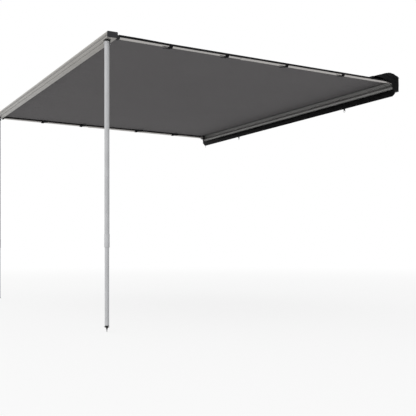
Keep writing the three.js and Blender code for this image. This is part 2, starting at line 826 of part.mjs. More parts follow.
function leadBar() {
  const end = halfLength - bar.capThickness - seatGap;
  const over = end + cut;
  const screwZ = bar.grooveFrom + bar.grooveHeight / 2;
  const screwDepth = bar.grooveDepth + bar.wall + cut;
  const screws = ends.map(({ side }) =>
    rodY(bar.screwRadius, -cut, screwDepth, side * (halfLength - bar.screwInset), screwZ, smallSteps),
  );
  return subtract(
    alongX(leadBarOutline(), -end, end),
    ...barChambers().map(({ y0, y1, z0, z1 }) => box(-over, over, y0, y1, z0, z1)),
    ...weltGroove(over, bar.depth - kederLip - kederBore, bar.depth, bar.slotHeight),
    ...screws,
  );
}

function barEndCap(side) {
  const face = chamfered(0, bar.depth, 0, bar.height, bar.corner);
  const root = side * (halfLength - bar.capThickness / 2);
  const tip = root - side * bar.capPlug;
  const plugs = barChambers().map(({ y0, y1, z0, z1 }) =>
    box(root, tip, y0 + seatGap, y1 - seatGap, z0 + seatGap, z1 - seatGap),
  );
  return union(alongX(face, side * (halfLength - bar.capThickness), side * halfLength), ...plugs);
}

// A small base plate under the bar, with a cheek behind the pole that carries its pin.
function poleBracket() {
  const top = polePivotDrop - seatGap;
  const cheekFace = poleTube.outer + swingGap;
  const cheekBack = cheekFace + bracket.cheek;
  const outline = tonguePlate(2 * bracket.cheekRadius, top - bracket.plate / 2);
  const halfWidth = bracket.width / 2;
  return subtract(
    union(
      box(-halfWidth, halfWidth, -bracket.front, cheekBack, top - bracket.plate, top),
      alongY(outline, cheekFace, cheekBack).rotateY(Math.PI),
    ),
    rodY(polePinRadius + seatGap, 0, cheekBack + cut, 0, 0, smallSteps),
  );
}

function polePin() {
  const front = -poleTube.outer - seatGap;
  const back = poleTube.outer + swingGap + bracket.cheek + seatGap;
  return union(
    rodY(polePinRadius, front - cut / 2, back + cut / 2, 0, 0, smallSteps),
    rodY(2 * polePinRadius, back, back + cut, 0, 0, smallSteps),
    rodY(2 * polePinRadius, front - cut, front, 0, 0, smallSteps),
  );
}

// Poles. In a pole's own frame it runs along -Y, and its pivot axis is local Z.

function polePinBore() {
  return rodZ(polePinRadius + seatGap, -2 * poleTube.outer, 2 * poleTube.outer, 0, 0, smallSteps);
}

function poleHead() {
  return subtract(rodY(poleTube.outerPlug, -plugDepth, poleRise), polePinBore());
}

// One wing of the foot: a flat strip that rises outwards from the hub, turned about the pole.
function footWingStrip(turn) {
  const { radius, rise, thickness, width, drop } = footWing;
  const base = -poleLowerEnd - drop;
  const shape = new THREE.Shape();
  shape.moveTo(0, base);
  shape.lineTo(radius, base + rise + thickness / 2);
  shape.lineTo(radius - thickness / 2, base + rise + thickness);
  shape.lineTo(0, base + 2 * thickness);
  shape.closePath();
  const strip = new THREE.ExtrudeGeometry(shape, { depth: width, bevelEnabled: false });
  return strip.translate(0, 0, -width / 2).rotateY(turn);
}

// The foot plugs the lower tube. Under its cone four wings turn up, over a ground spike.
function poleFoot() {
  const hubBottom = -poleLowerEnd - footWing.drop;
  const hubTop = hubBottom + 2 * footWing.thickness;
  const quarter = Math.PI / 2;
  const wings = [0, 1, 2, 3].map((i) => footWingStrip(i * quarter + quarter / 2));
  return union(
    turned([
      [0, -poleLength],
      [spikeTipRadius, -poleLength],
      [spikeRadius, hubBottom - spikeTipRadius],
      [footWing.hub, hubBottom + cut],
      [footWing.hub, hubTop],
      [poleTube.inner, -poleLowerEnd - cut],
      [poleTube.inner, -poleLowerEnd - seatGap],
      [0, -poleLowerEnd - seatGap],
    ], smallSteps),
    rodY(poleTube.innerPlug, -poleLowerEnd - cut, -poleLowerEnd + plugDepth),
    ...wings,
  );
}

function polePieces({ name, side }) {
  const frame = new THREE.Group();
  frame.position.set(side * poleX, poleY, polePivotZ);
  frame.rotation.x = Math.PI / 2;
  add(frame, `pole_head_${name}`, poleHead(), blackPlastic);
  const upperTube = subtract(outerTube(poleTube, -poleRise, poleOuterEnd), polePinBore());
  add(frame, `pole_upper_tube_${name}`, upperTube, tubeSilver);
  const collarFrom = poleLength - poleCollarTop;
  const collar = lockCollar(poleTube, poleOuterEnd, collarFrom, collarFrom + poleCollarLength);
  add(frame, `pole_lock_collar_${name}`, collar, tubeSilver);
  add(frame, `pole_lower_tube_${name}`, innerTube(poleTube, poleInnerStart, poleLowerEnd), tubeSilver);
  add(frame, `pole_guide_plug_${name}`, guidePlug(poleTube, poleInnerStart), blackPlastic);
  add(frame, `pole_foot_${name}`, poleFoot(), blackPlastic);
  return frame;
}

// Cloth

// Height of the underside of a hem at a place along Y.
function hemSeatZ(y) {
  const along = (-armPivotForward - y) / Math.cos(armTilt);
  return armRootZ - along * Math.sin(armTilt) + (armTube.outer + hemLift) / Math.cos(armTilt);
}

function canopyHeight(x, y) {
  const caseY = -plate.slotBossDepth;
  const share = (caseY - y) / (caseY - barInnerY);
  const flat = slotZ + share * (barZ + bar.slotHeight - slotZ);
  const edge = armX - hemFlat - seatGap;
  const lift = THREE.MathUtils.smoothstep(Math.abs(x), edge - edgeLiftWidth, edge);
  const fromBar = THREE.MathUtils.smoothstep(y, barInnerY, barInnerY + edgeRamp);
  const fromCase = THREE.MathUtils.smoothstep(caseY - y, 0, edgeRamp);
  return flat + lift * fromBar * fromCase * (hemSeatZ(y) + hemThickness / 2 - flat);
}

function evenSteps(from, to, steps) {
  return Array.from({ length: steps + 1 }, (unused, i) => from + (i * (to - from)) / steps);
}

// A closed sheet over a grid of X and Y places, at the height the function gives.
function gridSheet(columns, rows, heightAt, thickness) {
  const across = columns.length;
  const levels = [1, -1];
  const positions = levels.flatMap((level) =>
    rows.flatMap((y) => columns.flatMap((x) => [x, y, heightAt(x, y) + (level * thickness) / 2])),
  );
  const index = [];
  const at = (level, row, column) => (level * rows.length + row) * across + column;
  const quad = (a, b, c, d) => index.push(a, b, c, a, c, d);
  const lastRow = rows.length - 1;
  const lastColumn = across - 1;
  for (let r = 0; r < lastRow; r += 1) {
    for (let c = 0; c < lastColumn; c += 1) {
      quad(at(0, r, c), at(0, r, c + 1), at(0, r + 1, c + 1), at(0, r + 1, c));
      quad(at(1, r, c), at(1, r + 1, c), at(1, r + 1, c + 1), at(1, r, c + 1));
    }
    quad(at(0, r, 0), at(0, r + 1, 0), at(1, r + 1, 0), at(1, r, 0));
    quad(at(0, r + 1, lastColumn), at(0, r, lastColumn), at(1, r, lastColumn), at(1, r + 1, lastColumn));
  }
  for (let c = 0; c < lastColumn; c += 1) {
    quad(at(0, 0, c + 1), at(0, 0, c), at(1, 0, c), at(1, 0, c + 1));
    quad(at(0, lastRow, c), at(0, lastRow, c + 1), at(1, lastRow, c + 1), at(1, lastRow, c));
  }
  const sheet = new THREE.BufferGeometry();
  sheet.setAttribute("position", new THREE.BufferAttribute(new Float32Array(positions), 3));
  sheet.setIndex(index);
  return sheet;
}

// A round welt on a short neck of cloth, at the end of the sheet.
function clothWelt(halfLength, beadY, edgeY, z) {
  return [
    rodX(kederRadius, -halfLength, halfLength, beadY, z, smallSteps),
    box(-halfLength, halfLength, beadY, edgeY, z - clothThickness / 2, z + clothThickness / 2),
  ];
}

// One sheet with a welt at each end. It rises at its sides to lie over the arms.
function canopy() {
  const edge = armX - hemFlat - seatGap;
  const inner = edge - edgeLiftWidth;
  const edgeSteps = 3;
  const middleSteps = 6;
  const rowSteps = 9;
  const columns = [
    ...evenSteps(-edge, -inner, edgeSteps),
    ...evenSteps(-inner, inner, middleSteps).slice(1, -1),
    ...evenSteps(inner, edge, edgeSteps),
  ];
  const caseY = -plate.slotBossDepth;
  const barRamp = barInnerY + edgeRamp;
  const caseRamp = caseY - edgeRamp;
  const rows = [
    barInnerY - kederLip,
    ...evenSteps(barInnerY, barRamp, 2),
    ...evenSteps(barRamp, caseRamp, rowSteps).slice(1, -1),
    ...evenSteps(caseRamp, caseY, 2),
    caseY + kederLip,
  ];
  return union(
    gridSheet(columns, rows, canopyHeight, clothThickness),
    ...clothWelt(edge - cut, caseY + kederLip + kederBore, caseY, slotZ),
    ...clothWelt(edge - cut, barInnerY - kederLip - kederBore, barInnerY, barZ + bar.slotHeight),
  );
}

// The hem lies on an arm and wraps over its outer side, in the arm's own frame.
function canopyHem(side) {
  const low = armTube.outer + hemLift;
  const high = low + hemThickness;
  const arc = (radius) =>
    evenSteps(0, hemWrap, smallSteps / 2).map((angle) => [
      side * radius * Math.sin(angle),
      radius * Math.cos(angle),
    ]);
  const outline = [[-side * hemFlat, high], ...arc(high), ...arc(low).reverse(), [-side * hemFlat, low]];
  const shape = new THREE.Shape(outline.map(([x, z]) => new THREE.Vector2(x, z)));
  return alongY(shape, -armReach + cradle.depth + 4 * seatGap, -hingeNeck - 2 * seatGap);
}

// A loop round the tube, closed up to the hem, with its loose tail lying inwards.
function hemStrap(side, share) {
  const y = -armReach + share * armReach;
  const tube = -y > armOuterEnd ? armTube.inner : armTube.outer;
  const bore = tube + slideGap;
  const round = bore + strapThickness;
  const top = armTube.outer + hemLift - seatGap;
  const shoulder = Math.acos(Math.min(1, round / top));
  const over = evenSteps(shoulder, Math.PI - shoulder, smallSteps).map((angle) => [top, angle]);
  const under = evenSteps(Math.PI, 2 * Math.PI, smallSteps).map((angle) => [round, angle]);
  const loop = [...over, ...under.slice(round < top ? 0 : 1, round < top ? undefined : -1)];
  const shape = new THREE.Shape(
    loop.map(([radius, angle]) => new THREE.Vector2(radius * Math.cos(angle), radius * Math.sin(angle))),
  );
  const tail = new THREE.Shape();
  const low = -bore;
  tail.moveTo(0, low - strapThickness);
  tail.lineTo(0, low);
  tail.lineTo(-side * round, low);
  tail.lineTo(-side * strapTail, low - strapTailDrop);
  tail.lineTo(-side * strapTail, low - strapTailDrop - strapThickness);
  tail.lineTo(-side * round, low - strapThickness);
  tail.closePath();
  const half = strapWidth / 2;
  const tailHalf = strapTailWidth / 2;
  return subtract(
    union(alongY(shape, y - half, y + half), alongY(tail, y - tailHalf, y + tailHalf)),
    rodY(bore, y - strapWidth, y + strapWidth),
  );
}

// Assembly

add(awning, "backing_plate", backingPlate(), plateGrey);
add(awning, "bag_upper_flap", bagUpperFlap(), bagVinyl);
add(awning, "bag_lower_flap", bagLowerFlap(), bagVinyl);
add(awning, "zip_slider", zipSlider(), steel);
add(awning, "canopy", canopy(), canopyCloth);

const barFrame = new THREE.Group();
barFrame.position.set(0, -reach, barZ);
add(barFrame, "lead_bar", leadBar(), barSilver);
awning.add(barFrame);

for (const end of ends) {
  const { name, side, rollStrapInset } = end;
  const rollStrapX = side * (halfLength - rollStrapInset);
  add(awning, `case_end_cap_${name}`, caseEndCap(side), blackPlastic);
  add(awning, `roof_bracket_${name}`, roofBracketShape(side), blackPlastic);
  add(awning, `bracket_bolt_${name}`, bracketBolt(side), steel);
  add(awning, `roll_strap_${name}`, rollStrapTab(rollStrapX), blackWebbing);
  add(awning, `strap_ring_${name}`, strapRing(rollStrapX), steel);
  add(barFrame, `bar_end_cap_${name}`, barEndCap(side), capGrey);
  const bracketFrame = new THREE.Group();
  bracketFrame.position.set(side * poleX, poleY, polePivotZ);
  add(bracketFrame, `pole_bracket_${name}`, poleBracket(), blackPlastic);
  add(bracketFrame, `pole_pin_${name}`, polePin(), steel);
  awning.add(bracketFrame, armPieces(end), polePieces(end));
}

export default awning;
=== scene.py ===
# Looks of a vehicle side awning, folded out: cloth, webbing, seams, finishes, light and camera.
# Metres in the row frame: +X runs along the vehicle, -Y out to the lead bar, +Z up.
import json
import math

import bpy
import numpy as np
from mathutils import Matrix, Vector, noise


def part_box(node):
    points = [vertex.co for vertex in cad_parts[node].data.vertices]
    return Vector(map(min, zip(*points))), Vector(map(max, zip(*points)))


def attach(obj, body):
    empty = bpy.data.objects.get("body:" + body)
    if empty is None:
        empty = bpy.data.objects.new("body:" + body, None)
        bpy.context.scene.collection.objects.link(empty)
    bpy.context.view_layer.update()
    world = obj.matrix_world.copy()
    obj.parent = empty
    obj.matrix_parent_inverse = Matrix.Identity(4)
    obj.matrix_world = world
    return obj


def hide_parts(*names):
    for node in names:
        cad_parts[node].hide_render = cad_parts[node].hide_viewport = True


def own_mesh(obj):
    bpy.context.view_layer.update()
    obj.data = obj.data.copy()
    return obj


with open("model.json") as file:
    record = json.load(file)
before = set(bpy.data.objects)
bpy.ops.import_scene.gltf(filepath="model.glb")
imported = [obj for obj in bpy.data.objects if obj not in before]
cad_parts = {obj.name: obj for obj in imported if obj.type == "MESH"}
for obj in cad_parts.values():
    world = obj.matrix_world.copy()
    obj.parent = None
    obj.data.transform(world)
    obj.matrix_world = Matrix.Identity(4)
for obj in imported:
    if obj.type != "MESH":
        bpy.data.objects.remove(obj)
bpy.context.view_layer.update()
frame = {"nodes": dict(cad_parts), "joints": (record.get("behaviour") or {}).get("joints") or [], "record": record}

MM = 0.001
SIDES = {"rear": 1, "front": -1}
CORNERS = ((-1, -1), (1, -1), (1, 1), (-1, 1))

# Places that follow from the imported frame
rail_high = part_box("backing_plate")[1]
canopy_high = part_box("canopy")[1]
bar_low, bar_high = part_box("lead_bar")
hem_low, hem_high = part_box("canopy_hem_rear")
upper_low, upper_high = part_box("bag_upper_flap")
lower_low, lower_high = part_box("bag_lower_flap")
slider_low, slider_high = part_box("zip_slider")
ground_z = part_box("pole_foot_rear")[0].z
joints = {joint["name"]: joint for joint in frame["joints"]}
travel = joints["lead_bar_travel"]
travel_axis = Vector(travel["axis"])
arm_pivots = {name: Vector(joints[f"arm_{name}_swing"]["pos_m"]) for name in SIDES}

# Arms: radius of the outer tube, and the reach from the pivot to the hems' ends at the bar
ARM_RADIUS = 9.5 * MM
ARM_LENGTH = arm_pivots["rear"].y - hem_low.y

# Canopy, from the slot in the case to the slot in the bar
CLOTH_THICKNESS = 0.7 * MM
CASE_FACE_Y = -22 * MM
BAR_FACE_Y = bar_high.y
CASE_SLOT_Z = 69 * MM
BAR_SLOT_Z = bar_low.z + 22 * MM
WELT_DEPTH = 6 * MM
SEWN_IN = 4 * MM
CANOPY_SAG = 12 * MM
CANOPY_STEP = 20 * MM
# Its columns and rows are closer together next to its edges
SIDE_SPAN = 120 * MM
SIDE_STEP = 8 * MM
SLOT_SPAN = 150 * MM
SLOT_STEP = 7.5 * MM
# It rises to the hems over the first span, but not within the second one from a slot
LIFT_SPAN = 70 * MM
HOLD_SPAN = 60 * MM
# Ripples: drawn from the corners beyond PULL_START, and slack in the middle
PULL_HEIGHT = 1.6 * MM
PULL_DENSITY = (3.1, 1.1)
PULL_START = 500 * MM
TAUT_SHARE = 0.12
SLACK_HEIGHT = 2.0 * MM
SLACK_DENSITY = (2.3, 1.7)
# Pleats at the two slots: height, turns per metre in radians, drift of the turns, seed, and where they fade
CASE_PLEATS = {"height": 0.9 * MM, "turns": 55, "drift": 3, "seed": 0, "shares": (0.015, 0.1)}
BAR_PLEATS = {"height": 0.8 * MM, "turns": 48, "drift": 4, "seed": 7, "shares": (0.015, 0.12)}

# Hems: a flat part sewn to the cloth, a wrap round the arm in radians, and a bead along the outer edge
HEM_FLAT = 13 * MM
HEM_FLAT_POINTS = 5
HEM_WRAP = 1.62
HEM_WRAP_POINTS = 11
HEM_THICKNESS = 1.7 * MM
HEM_BEAD = 2.8 * MM
HEM_LIFT = 3.4 * MM
HEM_RADIUS = ARM_RADIUS + HEM_LIFT
HEM_STEP = 12 * MM
HEM_END_GAP = 0.6 * MM
# Shares of the way across a hem: where it swells to the bead, and where its two borders get thinner
BEAD_SHARES = (0.8, 0.92)
OUTER_BORDER_SHARES = (0.95, 1.0)
INNER_BORDER_SHARES = (0.0, 0.08)
OUTER_BORDER_LOSS = 0.45
INNER_BORDER_LOSS = 0.4
# Unevenness of the wrap: radians, waves per metre and seed
HEM_WAVES = ((0.07, 9, 2.0), (0.03, 31, 5.0))
# Towards the bar a hem reaches less far round, and is pulled up, between two distances from its end
HEM_UNWRAP = 0.34
UNWRAP_SPAN = (420 * MM, 80 * MM)
HEM_PULL = 3.0 * MM
PULL_SPAN = (320 * MM, 90 * MM)
PULL_ROOT = 8 * MM

# Stitches: their rows are shares of the way across a hem, with the faces that show them, 1 for the outer
STITCH_LENGTH = 3 * MM
STITCH_WIDTH = 0.7 * MM
STITCH_HEIGHT = 0.35 * MM
STITCH_PITCH = 4.2 * MM
STITCH_MARGIN = 6 * MM
STITCH_ROWS = ((0.08, (-1, 1)), (0.22, (-1, 1)), (0.68, (1,)), (0.78, (1,)))
# One stitch along its run: place in lengths, and share of its full width and height
STITCH_PROFILE = ((-0.5, 0.3), (-0.3, 1), (0.3, 1), (0.5, 0.3))

# Webbing, with crowned faces. Its profile is in widths and thicknesses
CROWN = 0.12
RIBBON_PROFILE = (
    (-0.5, -0.32), (-0.42, -0.5), (0, -0.5 - CROWN), (0.42, -0.5), (0.5, -0.32),
    (0.5, 0.32), (0.42, 0.5), (0, 0.5 + CROWN), (-0.42, 0.5), (-0.5, 0.32),
)

# Hem straps: a loop round the arm, that hangs a little under the tube
STRAP_COUNT = 4
STRAP_WIDTH = 22 * MM
STRAP_THICKNESS = 1.2 * MM
STRAP_SLACK = 0.3 * MM
STRAP_RADIUS = ARM_RADIUS + STRAP_SLACK + STRAP_THICKNESS / 2
LOOP_DROP = 0.7 * MM
LOOP_POINTS = 36
# Loose tails: lengths in mm, and turns in degrees from the inward direction towards the bar
TAIL_WIDTH = 19 * MM
TAIL_TIP_WIDTH = 15 * MM
TAIL_NARROW_SHARE = 0.85
TAIL_STEP_SHARE = 0.08
TAIL_LENGTH = {"rear": (46, 43, 47, 44), "front": (60, 66, 78, 62)}
TAIL_TURNS = {"rear": (94, 98, 90, 95), "front": (-28, -18, -30, -32)}
# How far each tail is turned up on its edge in degrees, how far its end droops, and its ripple
TAIL_TILT = {"rear": 0, "front": 55}
TAIL_DROOP = {"rear": 5 * MM, "front": 2 * MM}
TAIL_RIPPLE = 0.7 * MM
# Where a tail starts, inwards and up from the arm's middle: under the tube or beside it
TAIL_ROOT = {
    "rear": (1 * MM, -STRAP_RADIUS - LOOP_DROP - STRAP_THICKNESS),
    "front": (STRAP_RADIUS + 2.1 * MM, -2 * MM),
}

# Roll straps: a tab sewn into a narrow loop round its ring
TAB_WIDTH = 20 * MM
TAB_THICKNESS = 1.5 * MM
TAB_STEP = 6 * MM
RING_LOOP_RADIUS = 3.5 * MM
RING_LOOP_WIDTH = 9 * MM
RING_LOOP_DROP = 2 * MM
# First turn, last turn and step of the loop in radians
RING_LOOP_TURNS = (-0.25, math.pi, 0.3)
SEAM_RISE = 9 * MM
# The tab's end behind the seam: thicknesses from its face, rise from the seam and width
TAB_END = ((1.2, -2 * MM, 12 * MM), (1, 5 * MM, 18 * MM))

# Bag
BAG_THICKNESS = 1.8 * MM
BAG_STEP = 14 * MM
CAP_FACE = rail_high.x + 26.5 * MM
ZIP_MARGIN = 20 * MM
TOOTH_PITCH = 2.6 * MM
# A zip tooth at three places: reach out of the tape's edge, half width along it and half height
TOOTH_PROFILE = (
    (-0.9 * MM, 0.75 * MM, 1.0 * MM),
    (0.5 * MM, 0.75 * MM, 1.15 * MM),
    (1.1 * MM, 0.5 * MM, 0.8 * MM),
)

# Lower flap: its edge is cut round at the corners, and its cloth bellies out below a tuck
LOWER_TOP_DROP = 1.5 * MM
LOWER_EDGE_RISE = 1.6 * MM
LOWER_EDGE_WAVE = 0.3 * MM
LOWER_CORNER_RISE = 15 * MM
LOWER_CORNER_SPAN = 20 * MM
LOWER_ROW_SHARE = 0.07
LOWER_BELLY = 2.6 * MM
LOWER_TUCK = 3.5 * MM
LOWER_TUCK_SHARE = 0.16
LOWER_CREASE = 0.7 * MM

# Upper flap: lengths along X at its rear end, where it is bunched, and at its front end
BUNCH_SPAN = 240 * MM
BUNCH_STEP = 5 * MM
DRAWN_SPAN = 160 * MM
FRONT_BUNCH_SPAN = 120 * MM
FRONT_BUNCH_SHARE = 0.6
FLAP_END_GAP = 2 * MM
FLAP_ROWS = 36
FLAP_LOOSE_SHARE = 0.25
FLAP_FOLD = 1.0 * MM
BUNCH_FOLD = 3.0 * MM
BUNCH_BACK_SHARE = 0.4
FLAP_BILLOW = 3.2 * MM
# How far its edge is drawn back and down at the rear end
DRAWN_BACK = 19 * MM
DRAWN_DOWN = 5 * MM
# Binding along its edge, and the zip's teeth beside that
BINDING_WIDTH = 12 * MM
BINDING_THICKNESS = 2.8 * MM
BINDING_LEAN = 0.1
TEETH_OFFSET = 6.4 * MM
# The open bag from the side, in mm: y and z from the rail's top out over the canopy
FLAP_KNOTS = (
    (-7, 77), (-25, 84.5), (-55, 95), (-90, 101.5), (-125, 98), (-160, 90), (-205, 78.5), (-237, 73),
)
FLAP_POINTS = 49

# Crumpled cloth: folds per metre and the share of each, first coarse and then fine
COARSE_FOLDS = (17, 0.75)
FINE_FOLDS = (41, 0.3)

# Bag ends, in mm: the rear one takes these shares of the flap's line, and goes on round the end cap
FLAP_END_SHARES = (0.1, 0.22, 0.34, 0.46, 0.58, 0.7, 0.82, 0.93, 1.0)
END_KNOTS = (
    (-178, 64), (-150, 59), (-108, 50), (-84, 39), (-77, 26), (-73, 10), (-66, -4), (-48, -9),
    (-26, -9), (-17, 4), (-15, 40),
)
FRONT_END_KNOTS = ((-9, 84), (-30, 87), (-52, 82), (-54, 60), (-44, 48), (-20, 47), (-9, 52))
# The lines onto which the two outlines shrink
REAR_SPINE = ((-42, 8), (-45, 60), (-75, 76), (-150, 76), (-196, 70))
FRONT_SPINE = ((-24, 66), (-40, 68))
END_POINTS = 131
# Rings of an end wall from its root to its middle: how far each one shrinks, and how far it bulges out
END_RINGS = (
    (0.04, 0), (0, 0.18), (0, 0.4), (0.04, 0.66), (0.12, 0.86), (0.28, 0.97), (0.5, 1), (0.75, 1),
    (0.92, 0.98),
)
# Narrow folds across an end wall, each from one place to another in mm
END_RIDGES = (
    ((-128, 96), (-62, 58)), ((-60, 98), (-52, 30)), ((-112, 62), (-38, 46)), ((-30, 82), (-24, 6)),
)
RIDGE_HEIGHT = 6 * MM
RIDGE_REACH = 5 * MM
# Gap to the flap's end, height of the crumples, and the share of it that moves the outline
END_GAP = {"rear": 3 * MM, "front": 1 * MM}
END_FOLD = {"rear": 3.6 * MM, "front": 1.2 * MM}
END_FOLD_SHARE = 0.4

# Rigid pieces: rounding of their edges in mm, by the start of a node's name
EDGE_ROUNDING = {
    "lead_bar": 0.5, "backing_plate": 0.5, "bar_end_cap": 1.2, "case_end_cap": 1.2, "roof_bracket": 0.6,
    "bracket_bolt": 0.4, "arm_cradle": 0.9, "pole_bracket": 0.5, "arm_hinge_block": 0.8, "pole_foot": 0.6,
    "arm_tip_plug": 0.6, "zip_slider": 0.3,
}
ROUNDED_ANGLE = math.radians(38)
SHARP_ANGLE = math.radians(32)
WELD_DISTANCE = 0.01 * MM
SPIKE_HEIGHT = 15 * MM

# Finishes: heights of their reliefs, and pitch and height of each weave
DIE_LINE_RELIEF = 0.05 * MM
GRAIN_RELIEF = 0.08 * MM
PEEL_RELIEF = 0.05 * MM
ZINC_RELIEF = 0.03 * MM
CREASE_RELIEF = 1.2 * MM
VINYL_PITCH = 1.1 * MM
CANOPY_WEAVE = (0.9 * MM, 0.12 * MM)
HEM_WEAVE = (1.3 * MM, 0.25 * MM)
WEBBING_WEAVE = (1.6 * MM, 0.35 * MM)
# Directions of the die lines, as a stretch of the noise over X, Y and Z
ALONG_X, ALONG_Y, ALONG_Z = (0.02, 1, 1), (1, 0.02, 1), (1, 1, 0.02)
# Bands of painted shade, where grooves and recesses are in shadow: axis, middle, half width at full strength, half
# width over all, amount
# Painted shade on the lead bar: the lower corner of its outer face, and lines in its grooves
BAR_PAINTED_SHADE = (
    ("Z", bar_low.z + 9.5 * MM, 3.5 * MM, 7 * MM, 0.62),
    ("Y", bar_low.y + 17.5 * MM, 2.5 * MM, 6 * MM, 0.1),
    ("Y", bar_low.y + 45 * MM, 5 * MM, 16 * MM, 0.12),
)
# Painted shade on the rail: a dark line under the slot, in its shadow, and a darker flat band below it
RAIL_PAINTED_SHADE = (
    ("Z", CASE_SLOT_Z - 3 * MM, 3 * MM, 6 * MM, 0.55),
    ("Z", CASE_SLOT_Z - 15 * MM, 7 * MM, 9 * MM, 0.1),
)

# Floor and light. The floor fades to white between two distances
FLOOR_REACH = 60
FLOOR_GAP = 0.5 * MM
FLOOR_FADE = (2.5, 12)
FLOOR_GLOW_SHARE = 0.8
WORLD_AT_BAR = 1.45
WORLD_AT_CASE = 0.2
KEY_PLACE = (3.5, -7.5, 3.2)
KEY_TARGET = (0, -1, -0.4)
KEY_SIZE = (5, 4)
KEY_POWER = 60

# Camera, fitted to the photograph's 416 x 416 frame: focal length and principal point in its pixels
PHOTO_WIDTH = 416
FOCAL_PIXELS = 672.9
PRINCIPAL_X = 152.3
HORIZON_Y = 248.6
CAMERA_PLACE = (4.5319, -3.473, -1.0552)
CAMERA_TURN = 0.4627
SENSOR_WIDTH_MM = 36


# Materials

def new_material(name):
    material = bpy.data.materials.new(name)
    material.use_nodes = True
    nodes = material.node_tree.nodes
    return material, nodes, material.node_tree.links, nodes["Principled BSDF"]


def scaled_coordinates(nodes, links, scale):
    coordinates = nodes.new("ShaderNodeTexCoord")
    mapping = nodes.new("ShaderNodeMapping")
    mapping.inputs["Scale"].default_value = scale
    links.new(coordinates.outputs["Object"], mapping.inputs["Vector"])
    return mapping.outputs["Vector"]


def coordinate(nodes, links, source, axis):
    """One axis of the texture coordinates that have this source, such as Object."""
    coordinates = nodes.new("ShaderNodeTexCoord")
    split = nodes.new("ShaderNodeSeparateXYZ")
    links.new(coordinates.outputs[source], split.inputs["Vector"])
    return split.outputs[axis]


def noise_value(nodes, links, scale, detail, stretch=(1, 1, 1)):
    texture = nodes.new("ShaderNodeTexNoise")
    texture.inputs["Scale"].default_value = scale
    texture.inputs["Detail"].default_value = detail
    links.new(scaled_coordinates(nodes, links, stretch), texture.inputs["Vector"])
    return texture.outputs["Fac"]


def wave_value(nodes, links, direction, period, distortion):
    texture = nodes.new("ShaderNodeTexWave")
    texture.bands_direction = direction
    # One band of the texture is a full turn over 20 units at scale 1
    texture.inputs["Scale"].default_value = math.tau / (20 * period)
    texture.inputs["Distortion"].default_value = distortion
    links.new(scaled_coordinates(nodes, links, (1, 1, 1)), texture.inputs["Vector"])
    return texture.outputs["Fac"]


def combine(nodes, links, operation, first, second):
    node = nodes.new("ShaderNodeMath")
    node.operation = operation
    for socket, value in zip(node.inputs, (first, second)):
        if isinstance(value, (int, float)):
            socket.default_value = value
        else:
            links.new(value, socket)
    return node.outputs["Value"]


def spread(nodes, links, value, low, high, start=0, end=1, kind="LINEAR"):
    """Goes from low to high while a value goes from start to end."""
    node = nodes.new("ShaderNodeMapRange")
    node.interpolation_type = kind
    node.inputs["From Min"].default_value = start
    node.inputs["From Max"].default_value = end
    node.inputs["To Min"].default_value = low
    node.inputs["To Max"].default_value = high
    links.new(value, node.inputs["Value"])
    return node.outputs["Result"]


def tinted(nodes, links, value, dark, light):
    ramp = nodes.new("ShaderNodeValToRGB")
    for stop, position, color in zip(ramp.color_ramp.elements, (0.3, 0.7), (dark, light)):
        stop.position = position
        stop.color = (*color, 1)
    links.new(value, ramp.inputs["Fac"])
    return ramp.outputs["Color"]


def bump(nodes, links, shader, height, distance, strength):
    node = nodes.new("ShaderNodeBump")
    node.inputs["Distance"].default_value = distance
    node.inputs["Strength"].default_value = strength
    links.new(height, node.inputs["Height"])
    links.new(node.outputs["Normal"], shader.inputs["Normal"])


def shades(color, amount):
    return [tuple(c * (1 + k * amount) for c in color) for k in (-1, 1)]


def painted_shade_band(nodes, links, color, axis, middle, core, reach, amount):
    """Darkens a colour in a band across one axis of the object: painted shade where a groove or recess is in
    shadow.
    """
    offset = combine(nodes, links, "SUBTRACT", coordinate(nodes, links, "Object", axis), middle)
    distance = combine(nodes, links, "ABSOLUTE", offset, 0)
    unshaded = spread(nodes, links, distance, 1 - amount, 1, core, reach, "SMOOTHSTEP")
    scale = nodes.new("ShaderNodeVectorMath")
    scale.operation = "SCALE"
    links.new(color, scale.inputs[0])
    links.new(unshaded, scale.inputs["Scale"])
    return scale.outputs["Vector"]


def anodised(name, color, run, metallic, roughness=0.38, shade_bands=()):
    """Satin aluminium with fine die lines along its run, and with bands of painted shade."""
    material, nodes, links, shader = new_material(name)
    lines = noise_value(nodes, links, 900, 2, run)
    cloud = noise_value(nodes, links, 9, 3)
    shader.inputs["Metallic"].default_value = metallic
    tone = tinted(nodes, links, cloud, *shades(color, 0.06))
    for band in shade_bands:
        tone = painted_shade_band(nodes, links, tone, *band)
    links.new(tone, shader.inputs["Base Color"])
    links.new(spread(nodes, links, lines, roughness - 0.07, roughness + 0.07), shader.inputs["Roughness"])
    bump(nodes, links, shader, lines, DIE_LINE_RELIEF, 0.35)
    return material


def moulded(name, color, roughness=0.55):
    material, nodes, links, shader = new_material(name)
    grain = noise_value(nodes, links, 1600, 2)
    cloud = noise_value(nodes, links, 40, 3)
    links.new(tinted(nodes, links, cloud, *shades(color, 0.12)), shader.inputs["Base Color"])
    links.new(spread(nodes, links, grain, roughness - 0.08, roughness + 0.08), shader.inputs["Roughness"])
    shader.inputs["Specular IOR Level"].default_value = 0.3
    bump(nodes, links, shader, grain, GRAIN_RELIEF, 0.5)
    return material


def coated(name, color):
    """Painted or plated metal with a light orange peel."""
    material, nodes, links, shader = new_material(name)
    peel = noise_value(nodes, links, 500, 2)
    links.new(tinted(nodes, links, peel, *shades(color, 0.08)), shader.inputs["Base Color"])
    shader.inputs["Roughness"].default_value = 0.48
    bump(nodes, links, shader, peel, PEEL_RELIEF, 0.5)
    return material


def zinc(name, color):
    material, nodes, links, shader = new_material(name)
    cloud = noise_value(nodes, links, 260, 4)
    shader.inputs["Metallic"].default_value = 0.95
    links.new(tinted(nodes, links, cloud, *shades(color, 0.15)), shader.inputs["Base Color"])
    links.new(spread(nodes, links, cloud, 0.25, 0.5), shader.inputs["Roughness"])
    bump(nodes, links, shader, cloud, ZINC_RELIEF, 0.4)
    return material


